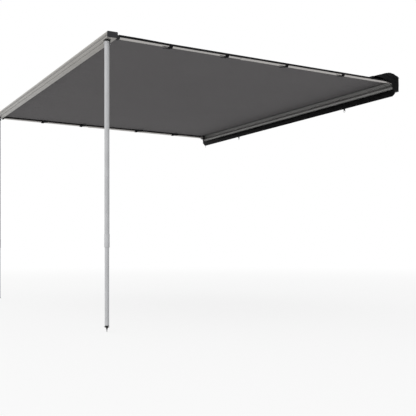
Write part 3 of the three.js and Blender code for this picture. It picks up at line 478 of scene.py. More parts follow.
def woven(name, color, warp, weft, size, roughness, cloud_scale, variation):
    """Plain weave: two sets of ribs across each other, with threads that vary and slow clouding."""
    material, nodes, links, shader = new_material(name)
    pitch, relief = size
    first = wave_value(nodes, links, warp, pitch, 0.3)
    second = wave_value(nodes, links, weft, pitch, 0.3)
    weave = combine(nodes, links, "MULTIPLY", first, second)
    slub = noise_value(nodes, links, 0.35 / pitch, 2)
    cloud = noise_value(nodes, links, cloud_scale, 4)
    tone = combine(nodes, links, "ADD", combine(nodes, links, "MULTIPLY", slub, 0.4),
                   combine(nodes, links, "MULTIPLY", cloud, 0.6))
    links.new(tinted(nodes, links, tone, *shades(color, variation)), shader.inputs["Base Color"])
    links.new(spread(nodes, links, weave, roughness + 0.05, roughness - 0.05), shader.inputs["Roughness"])
    shader.inputs["Specular IOR Level"].default_value = 0.12
    height = combine(nodes, links, "ADD", weave, combine(nodes, links, "MULTIPLY", slub, 0.5))
    bump(nodes, links, shader, height, relief, 0.6)
    return material


def vinyl(name, color):
    """Coated bag cloth: a faint shine over a fine weave and shallow creases. Its colour is lighter on the creases'
    ridges, partly wear and partly painted highlight, and darker in their hollows as painted shade.
    """
    material, nodes, links, shader = new_material(name)
    weave = combine(nodes, links, "MULTIPLY", wave_value(nodes, links, "X", VINYL_PITCH, 0.2),
                    wave_value(nodes, links, "Z", VINYL_PITCH, 0.2))
    crease = noise_value(nodes, links, 42, 5, (0.5, 1, 1))
    # Painted highlight and shade: the base colour follows the crease noise that also makes the bump
    links.new(tinted(nodes, links, crease, *shades(color, 0.8)), shader.inputs["Base Color"])
    links.new(spread(nodes, links, crease, 0.38, 0.6), shader.inputs["Roughness"])
    shader.inputs["Specular IOR Level"].default_value = 0.07
    height = combine(nodes, links, "ADD", combine(nodes, links, "MULTIPLY", weave, 0.08), crease)
    bump(nodes, links, shader, height, CREASE_RELIEF, 0.5)
    return material


def thread(name, dark, light):
    material, nodes, links, shader = new_material(name)
    twist = noise_value(nodes, links, 1500, 2)
    links.new(tinted(nodes, links, twist, dark, light), shader.inputs["Base Color"])
    shader.inputs["Roughness"].default_value = 0.6
    return material


def foot_finish(plastic, spike_top):
    """The foot's plastic, with bare steel below a height, where the spike is."""
    material = plastic.copy()
    material.name = "pole_foot"
    nodes, links = material.node_tree.nodes, material.node_tree.links
    shader = nodes["Principled BSDF"]
    spike = combine(nodes, links, "LESS_THAN", coordinate(nodes, links, "Object", "Z"), spike_top)
    mix = nodes.new("ShaderNodeMix")
    mix.data_type = "RGBA"
    links.new(spike, mix.inputs["Factor"])
    links.new(shader.inputs["Base Color"].links[0].from_socket, mix.inputs["A"])
    mix.inputs["B"].default_value = (0.36, 0.36, 0.37, 1)
    links.new(mix.outputs["Result"], shader.inputs["Base Color"])
    links.new(combine(nodes, links, "MULTIPLY", spike, 0.8), shader.inputs["Metallic"])
    return material


materials = {
    # The rail and the bar get bands of painted shade where their grooves and recesses are in shadow
    "rail_aluminium": anodised("rail_aluminium", (0.24, 0.24, 0.233), ALONG_X, 0.35, 0.45, RAIL_PAINTED_SHADE),
    "bar_aluminium": anodised("bar_aluminium", (0.37, 0.357, 0.335), ALONG_X, 0.35, shade_bands=BAR_PAINTED_SHADE),
    "arm_aluminium": anodised("arm_aluminium", (0.455, 0.44, 0.425), ALONG_Y, 0.85, 0.3),
    "pole_aluminium": anodised("pole_aluminium", (0.49, 0.495, 0.505), ALONG_Z, 0, 0.6),
    "steel": zinc("steel", (0.55, 0.56, 0.57)),
    "black_steel": coated("black_steel", (0.012, 0.012, 0.012)),
    "black_plastic": moulded("black_plastic", (0.010, 0.010, 0.011)),
    "cap_plastic": moulded("cap_plastic", (0.024, 0.024, 0.027), 0.6),
    "canopy_cloth": woven("canopy_cloth", (0.136, 0.131, 0.133), "X", "Y", CANOPY_WEAVE, 0.85, 3, 0.03),
    "hem_cloth": woven("hem_cloth", (0.008, 0.008, 0.009), "X", "Y", HEM_WEAVE, 0.75, 20, 0.15),
    "webbing": woven("webbing", (0.007, 0.007, 0.008), "Y", "Z", WEBBING_WEAVE, 0.7, 30, 0.15),
    "bag_vinyl": vinyl("bag_vinyl", (0.0036, 0.0036, 0.004)),
}
THREAD = thread("thread", (0.016, 0.016, 0.017), (0.032, 0.032, 0.034))


# Finish of the carried-over nodes

def smooth_group():
    """A node group that shades smooth, apart from edges that turn by more than SHARP_ANGLE."""
    tree = bpy.data.node_groups.new("smooth_by_angle", "GeometryNodeTree")
    tree.interface.new_socket("Geometry", in_out="INPUT", socket_type="NodeSocketGeometry")
    tree.interface.new_socket("Geometry", in_out="OUTPUT", socket_type="NodeSocketGeometry")
    nodes, links = tree.nodes, tree.links
    start = nodes.new("NodeGroupInput")
    end = nodes.new("NodeGroupOutput")
    faces = nodes.new("GeometryNodeSetShadeSmooth")
    edges = nodes.new("GeometryNodeSetShadeSmooth")
    edges.domain = "EDGE"
    edges.inputs["Shade Smooth"].default_value = False
    angle = nodes.new("GeometryNodeInputMeshEdgeAngle")
    sharp = nodes.new("FunctionNodeCompare")
    sharp.data_type = "FLOAT"
    sharp.operation = "GREATER_THAN"
    sharp.inputs["B"].default_value = SHARP_ANGLE
    links.new(start.outputs["Geometry"], faces.inputs["Geometry"])
    links.new(faces.outputs["Geometry"], edges.inputs["Geometry"])
    links.new(angle.outputs["Unsigned Angle"], sharp.inputs["A"])
    links.new(sharp.outputs["Result"], edges.inputs["Selection"])
    links.new(edges.outputs["Geometry"], end.inputs["Geometry"])
    return tree


def dress_node(name, piece, slot):
    mesh = piece.data
    mesh.materials.clear()
    mesh.materials.append(materials[slot])
    normals = mesh.attributes.get("custom_normal")
    if normals is not None:
        mesh.attributes.remove(normals)
    weld = piece.modifiers.new("weld", "WELD")
    weld.merge_threshold = WELD_DISTANCE
    width = next((w for start, w in EDGE_ROUNDING.items() if name.startswith(start)), None)
    if width is not None:
        bevel = piece.modifiers.new("edges", "BEVEL")
        bevel.width = width * MM
        bevel.segments = 2
        bevel.angle_limit = ROUNDED_ANGLE
    smooth = piece.modifiers.new("smooth", "NODES")
    smooth.node_group = SMOOTH


SMOOTH = smooth_group()
for part in frame["record"]["subparts"]:
    dress_node(part["node"], frame["nodes"][part["node"]], part["material_slot"])
foot_material = foot_finish(materials["black_plastic"], ground_z + SPIKE_HEIGHT)
for end_name in SIDES:
    frame["nodes"][f"pole_foot_{end_name}"].data.materials[0] = foot_material


# Mesh helpers

def add_object(name, data):
    piece = bpy.data.objects.new(name, data)
    bpy.context.scene.collection.objects.link(piece)
    return piece


def make_piece(name, verts, faces, slot, smooth=True):
    mesh = bpy.data.meshes.new(name)
    mesh.from_pydata([tuple(v) for v in verts], [], faces)
    mesh.validate()
    mesh.materials.append(materials[slot])
    mesh.polygons.foreach_set("use_smooth", [smooth] * len(mesh.polygons))
    mesh.update()
    piece = add_object(name, mesh)
    return piece


def even(start, end, step):
    count = max(1, round(abs(end - start) / step))
    return [start + (end - start) * i / count for i in range(count + 1)]


def smoothstep(value, low, high):
    t = min(1.0, max(0.0, (value - low) / (high - low)))
    return t * t * (3 - 2 * t)


def ripple(x, y, z=0.0):
    """Smooth noise from -1 to 1, at one metre a lattice step."""
    return noise.noise(Vector((x, y, z)))


def grid_faces(rows, columns, closed=False):
    faces = []
    for row in range(rows - 1):
        here = row * columns
        above = here + columns
        for column in range(columns if closed else columns - 1):
            after = (column + 1) % columns
            faces.append((here + column, here + after, above + after, above + column))
    return faces


def cloth_grid(name, grid, slot, thickness):
    """A sheet through a grid of points, rows first, with a real thickness."""
    verts = [point for row in grid for point in row]
    piece = make_piece(name, verts, grid_faces(len(grid), len(grid[0])), slot)
    solid = piece.modifiers.new("thickness", "SOLIDIFY")
    solid.thickness = thickness
    solid.offset = 0
    return piece


def swept(name, sections, slot):
    """A closed skin over sections, each a ring of the same number of points."""
    count = len(sections[0])
    verts = [point for section in sections for point in section]
    faces = grid_faces(len(sections), count, closed=True)
    last = (len(sections) - 1) * count
    faces.append(tuple(reversed(range(count))))
    faces.append(tuple(last + i for i in range(count)))
    return make_piece(name, verts, faces, slot)


def merged(parts):
    """Joins (verts, faces) pairs into one pair."""
    verts, faces = [], []
    for part_verts, part_faces in parts:
        start = len(verts)
        verts.extend(part_verts)
        faces.extend(tuple(start + i for i in face) for face in part_faces)
    return verts, faces


def curve_points(knots, count):
    """A smooth line through knots in the plane, at even shares of the way."""
    knots = np.array(knots, float)
    padded = np.vstack([2 * knots[0] - knots[1], knots, 2 * knots[-1] - knots[-2]])
    out = []
    for i in range(count):
        at = (len(knots) - 1) * i / (count - 1)
        k = min(int(at), len(knots) - 2)
        t = at - k
        p0, p1, p2, p3 = padded[k:k + 4]
        out.append(0.5 * (2 * p1 + (p2 - p0) * t + (2 * p0 - 5 * p1 + 4 * p2 - p3) * t ** 2
                          + (3 * p1 - p0 - 3 * p2 + p3) * t ** 3))
    return out


def nearest_on(line, place):
    """The point of a broken line in the plane that is nearest to a place."""
    best = None
    for start, end in zip(line, line[1:]):
        start, end = np.array(start, float), np.array(end, float)
        run = end - start
        share = min(1.0, max(0.0, float(np.dot(place - start, run) / np.dot(run, run))))
        point = start + run * share
        if best is None or np.linalg.norm(place - point) < np.linalg.norm(place - best):
            best = point
    return best


# Arms

def along_arm(y):
    """Distance from an arm's pivot, along the arm, at which it reaches this y."""
    return (arm_pivots["rear"].y - y) / travel_axis.y


def arm_point(name, x, along, up):
    """A point beside an arm: x across, along from the pivot to the bar, up square to the arm."""
    pivot = arm_pivots[name]
    out = -travel_axis
    rise = Vector((0, -travel_axis.z, travel_axis.y))
    return Vector((x, 0, 0)) + Vector((0, pivot.y, pivot.z)) + out * along + rise * up


def near_bar(along, start, end):
    """From 0 to 1 between two distances from the arm's end at the bar."""
    return smoothstep(along, ARM_LENGTH - start, ARM_LENGTH - end)


def follow_bar(piece):
    """Ties cloth to the case, and gives it a mesh of its own."""
    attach(piece, "case")
    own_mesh(piece)


# Canopy

def hem_middle(y):
    """Height of the middle of a hem's flat part, over the arm that it lies on."""
    return arm_pivots["rear"].z - along_arm(y) * travel_axis.z + HEM_RADIUS / travel_axis.y


def pleat(x, share, height, turns, drift, seed, shares):
    """Height of the small pleats next to a slot, at a share of the way from it."""
    return height * math.sin(x * turns + drift * ripple(2 * x, seed)) * (1 - smoothstep(share, *shares))


def canopy_point(x, y):
    """A point of the canopy: sagging in the middle, lifted to the hems, with pleats, pulls and slack."""
    edge = canopy_high.x
    share = min(1.0, max(0.0, (CASE_FACE_Y - y) / (CASE_FACE_Y - BAR_FACE_Y)))
    flat = CASE_SLOT_Z + share * (BAR_SLOT_Z - CASE_SLOT_Z)
    lift = smoothstep(abs(x), edge - LIFT_SPAN, edge)
    free = smoothstep(y - BAR_FACE_Y, 0, HOLD_SPAN) * smoothstep(CASE_FACE_Y - y, 0, HOLD_SPAN)
    middle = math.sin(math.pi * share)
    sag = CANOPY_SAG * max(0.0, 1 - (x / edge) ** 2) * middle
    taut = smoothstep(share, 0, TAUT_SHARE) * smoothstep(1 - share, 0, TAUT_SHARE)
    out, back = PULL_DENSITY
    pull = PULL_HEIGHT * ripple(out * (abs(x) + y), back * (abs(x) - y), x)
    pull *= smoothstep(abs(x), PULL_START, edge) * taut
    slack = SLACK_HEIGHT * ripple(SLACK_DENSITY[0] * x, SLACK_DENSITY[1] * y, 4.0) * middle
    pleats = (pleat(x, share, **CASE_PLEATS) + pleat(x, 1 - share, **BAR_PLEATS)) * free
    height = flat + lift * free * (hem_middle(y) - flat) - sag + (pull + slack + pleats) * (1 - lift)
    return Vector((x, y, height))


def canopy_cloth():
    edge = canopy_high.x + SEWN_IN
    columns = even(-edge, -edge + SIDE_SPAN, SIDE_STEP)[:-1]
    columns += even(-edge + SIDE_SPAN, edge - SIDE_SPAN, CANOPY_STEP)
    columns += even(edge - SIDE_SPAN, edge, SIDE_STEP)[1:]
    rows = [BAR_FACE_Y - WELT_DEPTH]
    rows += even(BAR_FACE_Y, BAR_FACE_Y + SLOT_SPAN, SLOT_STEP)[:-1]
    rows += even(BAR_FACE_Y + SLOT_SPAN, CASE_FACE_Y - SLOT_SPAN, CANOPY_STEP)
    rows += even(CASE_FACE_Y - SLOT_SPAN, CASE_FACE_Y, SLOT_STEP)[1:]
    rows.append(CASE_FACE_Y + WELT_DEPTH)
    grid = [[canopy_point(x, y) for x in columns] for y in rows]
    return cloth_grid("canopy_cloth", grid, "canopy_cloth", CLOTH_THICKNESS)


canopy = canopy_cloth()
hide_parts("canopy")


# Hems

def stitch(at, direction, normal):
    """One low stitch of thread, a small flat loaf."""
    across = direction.cross(normal)
    verts = []
    for share, swell in STITCH_PROFILE:
        centre = at + direction * (share * STITCH_LENGTH)
        for side in (-1, 1):
            verts.append(centre + across * (side * STITCH_WIDTH * swell / 2))
        verts.append(centre + normal * (STITCH_HEIGHT * swell))
    faces = []
    for i in range(len(STITCH_PROFILE) - 1):
        a = 3 * i
        b = a + 3
        faces += [(a, b, b + 2, a + 2), (a + 2, b + 2, b + 1, a + 1), (a + 1, b + 1, b, a)]
    faces += [(0, 2, 1), (9, 10, 11)]
    return verts, faces


def add_threads(piece, threads):
    """Joins stitches into a piece's own mesh, with the thread's material."""
    verts, faces = merged(threads)
    mesh = piece.data
    base_verts = [v.co.copy() for v in mesh.vertices]
    base_faces = [tuple(p.vertices) for p in mesh.polygons]
    start = len(base_verts)
    all_faces = base_faces + [tuple(start + i for i in face) for face in faces]
    joined = bpy.data.meshes.new(mesh.name)
    joined.from_pydata(base_verts + verts, [], all_faces)
    for material in mesh.materials:
        joined.materials.append(material)
    joined.materials.append(THREAD)
    thread_slot = len(joined.materials) - 1
    joined.polygons.foreach_set("use_smooth", [True] * len(all_faces))
    slots = [0] * len(base_faces) + [thread_slot] * len(faces)
    joined.polygons.foreach_set("material_index", slots)
    joined.update()
    piece.data = joined


def hem_outline(wrap):
    """A hem across its arm, from its inner edge over the outer side of the tube.

    Each point is (outward, up, way out of the surface outward and up, half thickness)."""
    line = [(-HEM_FLAT * (1 - i / HEM_FLAT_POINTS), HEM_RADIUS, 0.0) for i in range(HEM_FLAT_POINTS)]
    for turn in even(0, wrap, wrap / HEM_WRAP_POINTS):
        line.append((HEM_RADIUS * math.sin(turn), HEM_RADIUS * math.cos(turn), turn))
    points = []
    for i, (out, up, turn) in enumerate(line):
        share = i / (len(line) - 1)
        half = (HEM_THICKNESS + (HEM_BEAD - HEM_THICKNESS) * smoothstep(share, *BEAD_SHARES)) / 2
        outer_loss = OUTER_BORDER_LOSS * smoothstep(share, *OUTER_BORDER_SHARES)
        inner_loss = INNER_BORDER_LOSS * (1 - smoothstep(share, *INNER_BORDER_SHARES))
        half *= 1 - outer_loss - inner_loss
        points.append((out, up, math.sin(turn), math.cos(turn), half))
    return points


def hem_wrap_at(along, side):
    """How far a hem reaches round its arm, in radians: less towards the bar."""
    uneven = sum(turn * ripple(density * along, side, seed) for turn, density, seed in HEM_WAVES)
    return HEM_WRAP - HEM_UNWRAP * near_bar(along, *UNWRAP_SPAN) + uneven


def hem_place(name, along, out, up):
    """A point of a hem. Near the bar the hem is pulled up to the cloth's slot."""
    pull = HEM_PULL * near_bar(along, *PULL_SPAN) * smoothstep(up, 0, PULL_ROOT)
    return arm_point(name, SIDES[name] * (abs(arm_pivots[name].x) + out), along, up + pull)


def hem_skin(name, start, end):
    side = SIDES[name]
    sections = []
    for along in even(start, end, HEM_STEP):
        points = hem_outline(hem_wrap_at(along, side))
        over = [(out + away * half, up + lift * half) for out, up, away, lift, half in points]
        under = [(out - away * half, up - lift * half) for out, up, away, lift, half in points]
        ring = [hem_place(name, along, out, up) for out, up in over + under[::-1]]
        sections.append(ring if side > 0 else ring[::-1])
    return swept(f"hem_tape_{name}", sections, "hem_cloth")


def hem_threads(name, start, end):
    side = SIDES[name]
    threads = []
    for share, levels in STITCH_ROWS:
        for along in even(start + STITCH_MARGIN, end - STITCH_MARGIN, STITCH_PITCH):
            points = hem_outline(hem_wrap_at(along, side))
            out, up, away, lift, half = points[round(share * (len(points) - 1))]
            normal = Vector((side * away, -travel_axis.z * lift, travel_axis.y * lift))
            for level in levels:
                at = hem_place(name, along, out + level * away * half, up + level * lift * half)
                threads.append(stitch(at, -travel_axis, normal * level))
    return threads


def hem_tape(name):
    start = along_arm(hem_high.y)
    end = along_arm(hem_low.y) - HEM_END_GAP
    piece = hem_skin(name, start, end)
    add_threads(piece, hem_threads(name, start, end))
    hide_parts(f"canopy_hem_{name}")
    return piece


hems = {name: hem_tape(name) for name in SIDES}
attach(canopy, "case")
for hem in hems.values():
    follow_bar(hem)
follow_bar(canopy)


# Webbing

def ribbon(name, path, across, width, thickness, slot):
    """Webbing along a path of points. It has one width, or one for each point."""
    sections = []
    for i, point in enumerate(path):
        before = path[max(0, i - 1)]
        after = path[min(len(path) - 1, i + 1)]
        run = (after - before).normalized()
        wide = (across - run * across.dot(run)).normalized()
        normal = run.cross(wide)
        reach = width[i] if isinstance(width, list) else width
        ring = []
        for u, v in RIBBON_PROFILE:
            ring.append(point + wide * (u * reach) + normal * (v * thickness / (1 + 2 * CROWN)))
        sections.append(ring)
    return swept(name, sections, slot)


def strap_loop(name, index, along):
    """A loop of webbing round the arm, under the hem on its upper side."""
    side = SIDES[name]
    over = HEM_RADIUS - HEM_THICKNESS / 2 - STRAP_THICKNESS / 2
    path = []
    for turn in even(0, math.tau, math.tau / LOOP_POINTS):
        rise = over if math.cos(turn) > 0 else STRAP_RADIUS + LOOP_DROP
        x = arm_pivots[name].x + side * STRAP_RADIUS * math.sin(turn)
        path.append(arm_point(name, x, along, rise * math.cos(turn)))
    return ribbon(f"strap_loop_{name}_{index}", path, travel_axis, STRAP_WIDTH, STRAP_THICKNESS, "webbing")


def strap_tail(name, index, along):
    """The loose end of a hem strap, lying along or across the tube."""
    side = SIDES[name]
    turn = math.radians(TAIL_TURNS[name][index - 1])
    tilt = math.radians(TAIL_TILT[name])
    length = TAIL_LENGTH[name][index - 1] * MM
    direction = Vector((-side, 0, 0)) * math.cos(turn) - travel_axis * math.sin(turn)
    inward, up = TAIL_ROOT[name]
    start = arm_point(name, arm_pivots[name].x - side * inward, along, up)
    path = []
    widths = []
    for share in even(0, 1, TAIL_STEP_SHARE):
        droop = TAIL_DROOP[name] * share ** 1.6 + TAIL_RIPPLE * math.sin(share * 7 + index)
        path.append(start + direction * (length * share) - Vector((0, 0, droop)))
        narrowed = smoothstep(share, TAIL_NARROW_SHARE, 1.0)
        widths.append(TAIL_WIDTH + (TAIL_TIP_WIDTH - TAIL_WIDTH) * narrowed)
    across = direction.cross(Vector((0, 0, 1))) * math.cos(tilt) + Vector((0, 0, math.sin(tilt)))
    return ribbon(f"strap_tail_{name}_{index}", path, across, widths, STRAP_THICKNESS, "webbing")


def hem_strap(name, index):
    """A strap that ties a hem to its arm. It goes with the hem."""
    low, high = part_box(f"hem_strap_{name}_{index}")
    along = along_arm((low.y + high.y) / 2)
    loop = strap_loop(name, index, along)
    tail = strap_tail(name, index, along)
    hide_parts(f"hem_strap_{name}_{index}")
    for piece in (loop, tail):
        follow_bar(piece)


for end_name in SIDES:
    for strap_index in range(1, STRAP_COUNT + 1):
        hem_strap(end_name, strap_index)


def roll_strap(name):
    """A webbing tab behind the lower flap, folded and sewn into a narrow loop round its ring."""
    low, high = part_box(f"roll_strap_{name}")
    ring_low, ring_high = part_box(f"strap_ring_{name}")
    x = (low.x + high.x) / 2
    centre = Vector((x, (ring_low.y + ring_high.y) / 2, ring_high.z - RING_LOOP_DROP))
    face = centre.y - RING_LOOP_RADIUS + TAB_THICKNESS / 2
    seam = centre.z + SEAM_RISE
    path = [Vector((x, face, z)) for z in even(high.z, seam, TAB_STEP)]
    widths = [TAB_WIDTH for point in path]
    for turn in even(*RING_LOOP_TURNS):
        out = Vector((0, -RING_LOOP_RADIUS * math.cos(turn), -RING_LOOP_RADIUS * math.sin(turn)))
        path.append(centre + out)
        widths.append(RING_LOOP_WIDTH)
    for layers, rise, width in TAB_END:
        path.append(Vector((x, face + layers * TAB_THICKNESS, seam + rise)))
        widths.append(width)
    tab = ribbon(f"roll_tab_{name}", path, Vector((1, 0, 0)), widths, TAB_THICKNESS, "webbing")
    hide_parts(f"roll_strap_{name}")
    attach(tab, "case")


for end_name in SIDES:
    roll_strap(end_name)


# Bag

def tooth(at, run, out, normal):
    """One zip tooth on the edge of a tape, a block that narrows outwards."""
    verts = []
    for reach, width, height in TOOTH_PROFILE:
        for u, v in CORNERS:
            verts.append(at + out * reach + run * (u * width) + normal * (v * height))
    faces = [(3, 2, 1, 0), (8, 9, 10, 11)]
    for level in (0, 4):
        for i in range(4):
            j = (i + 1) % 4
            faces.append((level + i, level + j, level + 4 + j, level + 4 + i))
    return verts, faces


def zip_chain(name, edge_at, start, end, out, normal):
    """Teeth in a row along the edge of a flap. edge_at gives the edge's place at an x."""
    run = Vector((1, 0, 0))
    teeth = [tooth(edge_at(x), run, out, normal) for x in even(start, end, TOOTH_PITCH)]
    verts, faces = merged(teeth)
    piece = make_piece(name, verts, faces, "black_plastic", smooth=False)
    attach(piece, "case")
    return piece


def lower_edge(x):
    """The lower flap's free edge. It stays where the zip slider runs."""
    y = (slider_low.y + slider_high.y) / 2 + LOWER_EDGE_WAVE * ripple(6 * x, 1.0)
    corner = LOWER_CORNER_RISE * (1 - smoothstep(lower_high.x - abs(x), 0, LOWER_CORNER_SPAN))
    return Vector((x, y, lower_low.z + LOWER_EDGE_RISE + corner))


def lower_place(x, share):
    """A point of the lower flap at x, at a share of the way down to its free edge."""
    edge = lower_edge(x)
    top = lower_high.z - LOWER_TOP_DROP
    belly = LOWER_BELLY * math.sin(math.pi * share ** 0.8) * (1 + 0.3 * ripple(4 * x, 5 * share, 1.0))
    tuck = LOWER_TUCK * (1 - smoothstep(share, 0, LOWER_TUCK_SHARE))
    crease = LOWER_CREASE * ripple(23 * x, 3 * share, 7.0) * math.sin(math.pi * share)
    return Vector((x, edge.y - belly + tuck + crease, top + (edge.z - top) * share))


def bag_lower_flap():
    """The lower flap hangs from its slot, bellied out a little, with one half of the zip along its edge."""
    end = lower_high.x
    shares = even(0, 1, LOWER_ROW_SHARE)
    grid = [[lower_place(x, share) for share in shares] for x in even(-end, end, BAG_STEP)]
    piece = cloth_grid("lower_flap", grid, "bag_vinyl", BAG_THICKNESS)
    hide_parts("bag_lower_flap")
    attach(piece, "case")
    teeth = zip_chain("zip_lower", lower_edge, -end + ZIP_MARGIN, end - ZIP_MARGIN, Vector((0, 0, -1)),
                      Vector((0, 1, 0)))


bag_lower_flap()


def crush(point, amount, seed):
    """Height of the folds at a point, in ridges like those of stiff cloth pushed together."""
    density, coarse_share = COARSE_FOLDS
    coarse = 1 - 2 * abs(noise.noise(point * density + Vector((seed, 0, 0))))
    density, fine_share = FINE_FOLDS
    fine = 1 - 2 * abs(noise.noise(point * density + Vector((0, seed, 0))))
    return amount * (coarse_share * coarse + fine_share * fine)


FLAP_LINE = [tuple(MM * value for value in point) for point in curve_points(FLAP_KNOTS, FLAP_POINTS)]


def flap_line_at(share):
    """The place on the open bag's line, y and z, at a share of the way from the rail."""
    return FLAP_LINE[round(share * (len(FLAP_LINE) - 1))]


def drawn_in(share):
    """How far the flap's rear end is drawn back and down, at a share of the way to its free edge."""
    return DRAWN_BACK * share ** 3, -DRAWN_DOWN * share ** 2


def flap_place(x, share):
    """A point of the upper flap at x, at a share of the way from the rail to its free edge."""
    front, rear = upper_low.x, upper_high.x
    front_bunch = FRONT_BUNCH_SHARE * smoothstep(-x, -front - FRONT_BUNCH_SPAN, -front)
    bunch = max(smoothstep(x, rear - BUNCH_SPAN, rear), front_bunch)
    point = Vector((x, *flap_line_at(share)))
    loose = smoothstep(share, 0.0, FLAP_LOOSE_SHARE)
    fold = crush(point, FLAP_FOLD + BUNCH_FOLD * bunch, 2.0) * loose
    billow = FLAP_BILLOW * ripple(2.4 * x, 5 * share, 3.0) * math.sin(math.pi * share) * (1 - bunch)
    drawn = Vector((0, *drawn_in(share))) * smoothstep(x, rear - DRAWN_SPAN, rear)
    return point + drawn + Vector((0, BUNCH_BACK_SHARE * fold, fold + billow))


def bag_upper_flap():
    """The upper flap lies open over the rail and the canopy, bound and with the zip's other half."""
    front, rear = upper_low.x, upper_high.x - FLAP_END_GAP
    columns = even(front, rear - BUNCH_SPAN, BAG_STEP)[:-1] + even(rear - BUNCH_SPAN, rear, BUNCH_STEP)
    grid = [[flap_place(x, share) for share in even(0, 1, 1 / FLAP_ROWS)] for x in columns]
    piece = cloth_grid("upper_flap", grid, "bag_vinyl", BAG_THICKNESS)
    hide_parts("bag_upper_flap")
    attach(piece, "case")
    edge = [flap_place(x, 1.0) for x in columns]
    lean = Vector((0, 1, BINDING_LEAN))
    binding = ribbon("flap_binding", edge, lean, BINDING_WIDTH, BINDING_THICKNESS, "webbing")
    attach(binding, "case")
    beside = Vector((0, -TEETH_OFFSET, 0))
    teeth = zip_chain("zip_upper", lambda x: flap_place(x, 1.0) + beside, front + ZIP_MARGIN,
                      rear - ZIP_MARGIN, Vector((0, -1, 0)), Vector((0, 0, 1)))


bag_upper_flap()


def flap_end_knots():
    """The upper flap's line at its rear end in mm, from its root to its free edge."""
    knots = []
    for share in FLAP_END_SHARES:
        y, z = flap_line_at(share)
        back, rise = drawn_in(share)
        knots.append(((y + back) / MM, (z + rise) / MM))
    return knots


def ridge(y, z, start, end):
    """Height of a narrow fold along a line between two places in mm."""
    place = np.array((y / MM, z / MM))
    distance = np.linalg.norm(place - nearest_on((start, end), place)) * MM
    return RIDGE_HEIGHT * math.exp(-(distance / RIDGE_REACH) ** 2)


def bag_end(name, outline, spine, outer):
    """A closed end wall of the bag, crumpled and bulged outwards. Its outline shrinks onto a spine."""
    side = SIDES[name]
    line = curve_points([*outline, outline[0]], END_POINTS)[:-1]
    centres = [nearest_on(spine, place) for place in line]
    sections = []
    for shrink, bulge in END_RINGS:
        ring = []
        for place, centre in zip(line, centres):
            y, z = (place + (centre - place) * shrink) * MM
            point = Vector((side * (CAP_FACE + (outer - END_GAP[name] - CAP_FACE) * bulge), y, z))
            fold = crush(point, END_FOLD[name], 5.0 + side)
            fold += sum(ridge(y, z, *ends) for ends in END_RIDGES)
            away = Vector((0, *(place - centre))).normalized()
            point += Vector((side * fold * bulge, 0, 0)) + away * (END_FOLD_SHARE * fold * (1 - shrink))
            ring.append(point)
        sections.append(ring[::-1] if side > 0 else ring)
    piece = swept(f"bag_end_{name}", sections, "bag_vinyl")
    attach(piece, "case")


bag_end("rear", [*flap_end_knots(), *END_KNOTS], REAR_SPINE, upper_high.x)
bag_end("front", FRONT_END_KNOTS, FRONT_SPINE, -upper_low.x)


# Floor, light and camera

def seen_plainly(nodes, links):
    """1 for camera, glossy and transmission rays, and 0 for the rest."""
    path = nodes.new("ShaderNodeLightPath")
    seen = combine(nodes, links, "MAXIMUM", path.outputs["Is Camera Ray"], path.outputs["Is Glossy Ray"])
    return combine(nodes, links, "MAXIMUM", seen, path.outputs["Is Transmission Ray"])


def world_light():
    """A studio that is brighter on the bar's side than behind the case, and looks white."""
    world = bpy.data.worlds.new("studio")
    bpy.context.scene.world = world
    world.use_nodes = True
    nodes, links = world.node_tree.nodes, world.node_tree.links
    light = nodes["Background"]
    light.inputs["Color"].default_value = (1, 1, 1, 1)
    depth = combine(nodes, links, "ADD", coordinate(nodes, links, "Generated", "Y"), 1)
    side = combine(nodes, links, "MULTIPLY", depth, 0.5)
    links.new(spread(nodes, links, side, WORLD_AT_BAR, WORLD_AT_CASE), light.inputs["Strength"])
    backdrop = nodes.new("ShaderNodeBackground")
    backdrop.inputs["Color"].default_value = (1, 1, 1, 1)
    mix = nodes.new("ShaderNodeMixShader")
    links.new(seen_plainly(nodes, links), mix.inputs["Fac"])
    links.new(light.outputs["Background"], mix.inputs[1])
    links.new(backdrop.outputs["Background"], mix.inputs[2])
    links.new(mix.outputs["Shader"], nodes["World Output"].inputs["Surface"])


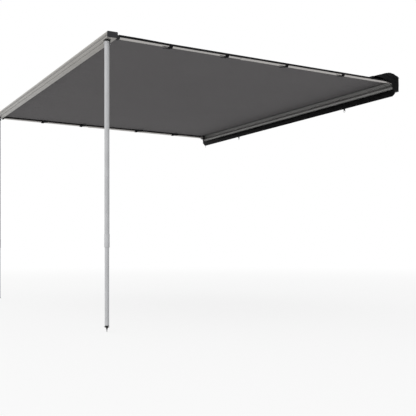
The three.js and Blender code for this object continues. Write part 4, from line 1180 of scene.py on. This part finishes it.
def floor_material():
    """Pale matt floor that turns white with distance, so no horizon shows."""
    material, nodes, links, shader = new_material("floor")
    cloud = noise_value(nodes, links, 0.6, 2)
    tone = tinted(nodes, links, cloud, (0.80, 0.80, 0.80), (0.82, 0.82, 0.82))
    links.new(tone, shader.inputs["Base Color"])
    shader.inputs["Roughness"].default_value = 0.9
    shader.inputs["Specular IOR Level"].default_value = 0.1
    distance = nodes.new("ShaderNodeVectorMath")
    distance.operation = "LENGTH"
    links.new(scaled_coordinates(nodes, links, (1, 1, 1)), distance.inputs[0])
    far = spread(nodes, links, distance.outputs["Value"], FLOOR_GLOW_SHARE, 1, *FLOOR_FADE, "SMOOTHSTEP")
    glow = nodes.new("ShaderNodeEmission")
    glow.inputs["Color"].default_value = (1, 1, 1, 1)
    mix = nodes.new("ShaderNodeMixShader")
    links.new(combine(nodes, links, "MULTIPLY", seen_plainly(nodes, links), far), mix.inputs["Fac"])
    links.new(shader.outputs["BSDF"], mix.inputs[1])
    links.new(glow.outputs["Emission"], mix.inputs[2])
    links.new(mix.outputs["Shader"], nodes["Material Output"].inputs["Surface"])
    return material


def floor():
    mesh = bpy.data.meshes.new("floor")
    corners = [(FLOOR_REACH * u, FLOOR_REACH * v, ground_z - FLOOR_GAP) for u, v in CORNERS]
    mesh.from_pydata(corners, [], [(0, 1, 2, 3)])
    mesh.materials.append(floor_material())
    piece = add_object("floor", mesh)


def key_light():
    light = bpy.data.lights.new("key", "AREA")
    light.shape = "RECTANGLE"
    light.size, light.size_y = KEY_SIZE
    light.energy = KEY_POWER
    lamp = add_object("key", light)
    lamp.location = KEY_PLACE
    lamp.rotation_euler = (Vector(KEY_TARGET) - Vector(KEY_PLACE)).to_track_quat("-Z", "Y").to_euler()


def camera():
    data = bpy.data.cameras.new("camera")
    data.sensor_width = SENSOR_WIDTH_MM
    data.lens = FOCAL_PIXELS / PHOTO_WIDTH * data.sensor_width
    data.shift_x = (PHOTO_WIDTH / 2 - PRINCIPAL_X) / PHOTO_WIDTH
    data.shift_y = (HORIZON_Y - PHOTO_WIDTH / 2) / PHOTO_WIDTH
    piece = add_object("camera", data)
    forward = Vector((-math.cos(CAMERA_TURN), math.sin(CAMERA_TURN), 0))
    right = Vector((math.sin(CAMERA_TURN), math.cos(CAMERA_TURN), 0))
    up = Vector((0, 0, 1))
    turn = Matrix((right, up, -forward)).transposed().to_4x4()
    piece.matrix_world = Matrix.Translation(CAMERA_PLACE) @ turn
    bpy.context.scene.camera = piece


world_light()
floor()
key_light()
camera()
bpy.context.scene.view_settings.view_transform = "Standard"
